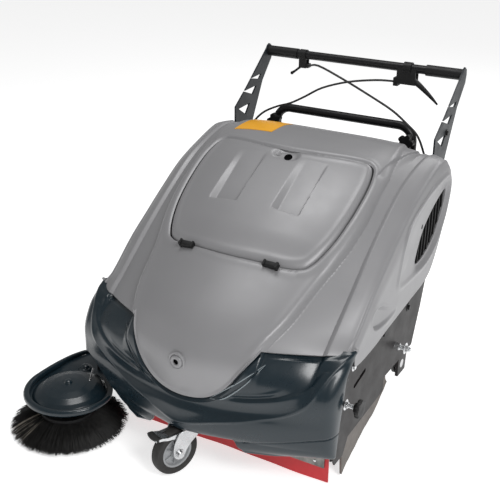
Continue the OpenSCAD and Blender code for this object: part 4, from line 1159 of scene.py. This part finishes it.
# brake pedal: pressed plate with a rubber toe
pl = []
for yy, zz, ww in ((-86, 124.5, 19.5), (-74, 121.5, 19.8), (-62, 118.5, 19.8), (-52, 116.5, 17)):
    pl.append([C3(q * ww, yy, zz + 1.2 * (1 - q * q)) for q in np.linspace(-1, 1, 21)])
pl = np.array(pl)
v_, f_ = shell_solid(pl, pl - [0, 0, 2.2])
o = mesh_obj("pedal_plate", v_, f_, ZINC, "caster_brake_body", 35)
tidy_normals(o)
blade("pedal_toe", [C3(-20, -96, 125.5), C3(0, -99, 126), C3(20, -96, 125.5)], [8.5, 9.5, 8.5], [4.4, 4.8, 4.4], (0, 0, 1), BLACKR,
      "caster_brake_body", 24, 20, 2.6)

# red flap and its clamping strip: rubber hanging with a slight wave
gx = np.linspace(-255, 336, 120)
gz = np.linspace(80, 3, 16)
GX, GZ = np.meshgrid(gx, gz, indexing="ij")
wave = 1.6 * np.sin(GX / 61 + 0.7) * ((80 - GZ) / 77) ** 1.5 + 0.7 * np.sin(GX / 23) * ((80 - GZ) / 77) ** 2
v_, f_ = shell_solid(np.stack([GX, 171.2 + wave, GZ], -1), np.stack([GX, 174.8 + wave, GZ], -1))
o = mesh_obj("flap_sheet", v_, f_, RED, "flap", 40)
tidy_normals(o)
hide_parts("front_flap")
tube("flap_rod", [(-266, 172.5, 80), (40, 172.5, 80), (345, 172.5, 80)], 4, ZINC, "flap", 16, 24)
STRIP = finish("strip_metal", (0.20, 0.20, 0.19), rough=0.42, metal=0.75, grain=300, grain_d=0.00008, mottle=60, mottle_amt=0.35,
               rough_var=0.12, dust=0.2, dust_rgb=(0.12, 0.11, 0.10), scratch=0.1)
gz = np.linspace(72, 44, 8)
GX, GZ = np.meshgrid(np.linspace(-250, 326, 90), gz, indexing="ij")
wave = 1.0 * np.sin(GX / 61 + 0.7) * ((80 - GZ) / 77) ** 1.5
v_, f_ = shell_solid(np.stack([GX, 168.3 + wave, GZ], -1), np.stack([GX, 170.9 + wave, GZ], -1))
o = mesh_obj("flap_clamp", v_, f_, STRIP, "flap", 40)
tidy_normals(o)
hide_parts("flap_strip")
for k_ in range(8):
    lathe("flap_rivet_%d" % k_, [(0, -2.2), (2.4, -1.8), (3.8, -0.6), (4, 0.6), (0, 0.6)], (-225 + k_ * 75, 168.3, 58), (0, 1, 0), ZINC,
          "flap", 20)

# side skirts: thick rubber with a slightly ragged, bowed lower edge
sk = None
for side, y0, y1 in ((1, 214, 478), (-1, 262, 478)):
    gy = np.linspace(y0, y1, 80)
    GY, GV = np.meshgrid(gy, np.linspace(0, 1, 22), indexing="ij")
    foot = np.interp(GY, [214, 228, 325, 402, 458, 500], [7, 15, 57, 84, 118, 150]) + 1.2 * np.sin(GY / 17.0) + 0.7 * np.sin(GY / 5.3)
    GZ = 149 + (foot - 149) * GV
    out_ = 1.5 * np.sin(GY / 60) * GV ** 2 + 3.6 * GV ** 3
    xo = side * (350.5 + out_)
    v_, f_ = shell_solid(np.stack([xo, GY, GZ], -1), np.stack([xo - side * 5.5, GY, GZ], -1))
    o = mesh_obj("skirt_" + ("l" if side > 0 else "r"), v_, f_, TAUPE, "chassis", 40)
    tidy_normals(o)
    sk = sk or o
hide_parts("side_skirts")

# drive wheels: treaded tyres
o = None
for side in (1, -1):
    prof = [(98.5, -24), (112, -25), (120, -24), (123.5, -21)]
    for k_ in range(5):
        c_ = -16 + 8 * k_
        prof += [(125, c_ - 2.6), (125, c_ + 1.6), (122.4, c_ + 2.4), (122.4, c_ + 4.0)] if k_ < 4 else [(125, c_ - 2.6), (125, c_ + 1.6)]
    prof += [(123.5, 21), (120, 24), (112, 25), (98.5, 24)]
    w_ = ring_lathe("drive_tyre_" + ("l" if side > 0 else "r"), prof, (side * 253, 600, 125), (1, 0, 0), TYRE, "drive_wheels",
                    120, 30)
    o = o or w_
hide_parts("wheel_tyres")

# batteries: lids, terminals, caps and a link cable
for bx in (-100, 100):
    tag = "l" if bx > 0 else "r"
    blade("battery_band_" + tag, [(bx - 88, 402, 468), (bx, 402, 468), (bx + 88, 402, 468)], [81, 81, 81], [3.5, 3.5, 3.5], (0, 0, 1), BLACKP,
          "chassis", 6, 40, 12)
    for k_ in range(6):
        lathe("battery_cap_%s%d" % (tag, k_), [(0, 483.5), (8, 483.5), (9.4, 482.5), (9.6, 479.5), (0, 479.5)],
              (bx - 65 + 26 * k_, 382, 0), (0, 0, 1), BIN, "chassis", 24)
    for k_ in (-1, 1):
        lathe("battery_post_%s%s" % (tag, "p" if k_ > 0 else "n"), [(0, 489), (6.5, 489), (7.4, 488), (8.4, 480), (12, 479.4), (0, 479.4)],
              (bx + k_ * 70, 450, 0), (0, 0, 1), ZINC, "chassis", 28)
tube("battery_link", [(-30, 450, 485), (-16, 447, 489), (0, 444, 490), (16, 447, 489), (30, 450, 485)], 3.6, BLACKR, "chassis", 14, 40)

# rear panel: key surround, charge gauge and socket rim
ring_lathe("key_surround", [(12.5, 845.2), (19, 845.2), (20, 846), (19, 848), (14, 849), (12.5, 848)], (-60, 0, 625), (0, 1, 0), ZINC,
           "chassis", 48)
ring_lathe("socket_rim", [(9.4, 845.2), (15.5, 845.2), (16.5, 846.2), (15, 848.6), (10.5, 849.4), (9.4, 848.4)], (60, 0, 625),
           (0, 1, 0), BLACKP, "chassis", 48)
blade("gauge_frame", [(-26, 846, 640), (0, 846, 640), (26, 846, 640)], [2.2, 2.2, 2.2], [11, 11, 11], (0, 0, 1), BIN, "chassis", 6, 32, 6)
for k_ in range(5):
    lathe("gauge_lamp_%d" % k_, [(0, 849.4), (1.8, 849.2), (2.7, 848.4), (2.8, 846), (0, 846)], (-18 + 9 * k_, 0, 640), (0, 1, 0),
          RED if k_ == 0 else (AMBER if k_ < 2 else PAPER), "chassis", 20)

# hopper: moulded ribs and a rolled rim
for k_ in range(7):
    xx = -210 + 70 * k_
    blade("hopper_rib_%d" % k_, [(xx, 881.5, 286), (xx, 882, 410), (xx, 881.5, 536)], [4, 4.5, 4], [2.6, 2.8, 2.6], (0, 1, 0), BIN,
          "hopper_drawer", 10, 14, 3)
blade("hopper_lip", [(-284, 880, 553), (0, 882, 553), (284, 880, 553)], [4.5, 4.5, 4.5], [6.5, 6.5, 6.5], (0, 0, 1), BIN, "hopper_drawer",
      20, 20, 3)

# softened edges on the plates and boxes that come straight from the design
for nm, wd in (("left_side_plate", .8), ("right_side_plate", .8), ("front_cross_member", .8), ("rear_cross_member", .8),
               ("battery_tray", .7), ("left_handle_plate", .9), ("right_handle_plate", .9), ("flap_lever_mount", 1.6),
               ("drive_lever_mount", 1.6), ("control_panel", 2.5), ("batteries", 3.0), ("suction_fan_housing", 1.5),
               ("brush_arms", .9), ("hopper", 2.5), ("side_brush_arm", 1.5), ("idler_arm", .5), ("axle_bearings", .8)):
    bv = NODES[nm].modifiers.new("edge", "BEVEL")
    bv.width = wd / 1000
    bv.segments = 3
    bv.limit_method = "ANGLE"
    bv.angle_limit = math.radians(40)
    bv.harden_normals = False


# ---------------------------------------------------------------- floor, light
ground = bpy.data.meshes.new("floor")
g = 40.0
ground.from_pydata([(-g, -g, 0), (g, -g, 0), (g, g, 0), (-g, g, 0)], [], [(0, 1, 2, 3)])
fm = bpy.data.materials.new("floor_pale")
fm.use_nodes = True
fp = fm.node_tree.nodes["Principled BSDF"]
fp.inputs["Base Color"].default_value = (0.82, 0.82, 0.82, 1)
fp.inputs["Roughness"].default_value = 0.9
fp.inputs["Emission Color"].default_value = (1, 1, 1, 1)
fp.inputs["Emission Strength"].default_value = 0.66
ground.materials.append(fm)
floor = bpy.data.objects.new("floor", ground)
bpy.context.scene.collection.objects.link(floor)


def area(name, loc, target, size, power, size_y=None, colour=(1, 1, 1)):
    d = bpy.data.lights.new(name, "AREA")
    d.shape = "RECTANGLE"
    d.size = size
    d.size_y = size_y or size
    d.energy = power
    d.color = colour
    o = bpy.data.objects.new(name, d)
    bpy.context.scene.collection.objects.link(o)
    o.location = loc
    o.rotation_euler = (Vector(target) - Vector(loc)).to_track_quat("-Z", "Y").to_euler()
    return o


mid = (0, 0, 0.4)
area("key", (2.9, -1.7, 2.9), mid, 1.3, 80)
area("fill", (-3.2, -2.0, 1.6), mid, 1.6, 4)
area("rim", (0.6, 3.0, 2.6), mid, 1.6, 26)
area("top", (-0.3, 0.2, 3.3), mid, 1.2, 30)
w = bpy.data.worlds.new("studio")
bpy.context.scene.world = w
w.use_nodes = True
w.node_tree.nodes["Background"].inputs["Color"].default_value = (1, 1, 1, 1)
w.node_tree.nodes["Background"].inputs["Strength"].default_value = 0.26
bpy.context.scene.view_settings.view_transform = "Standard"
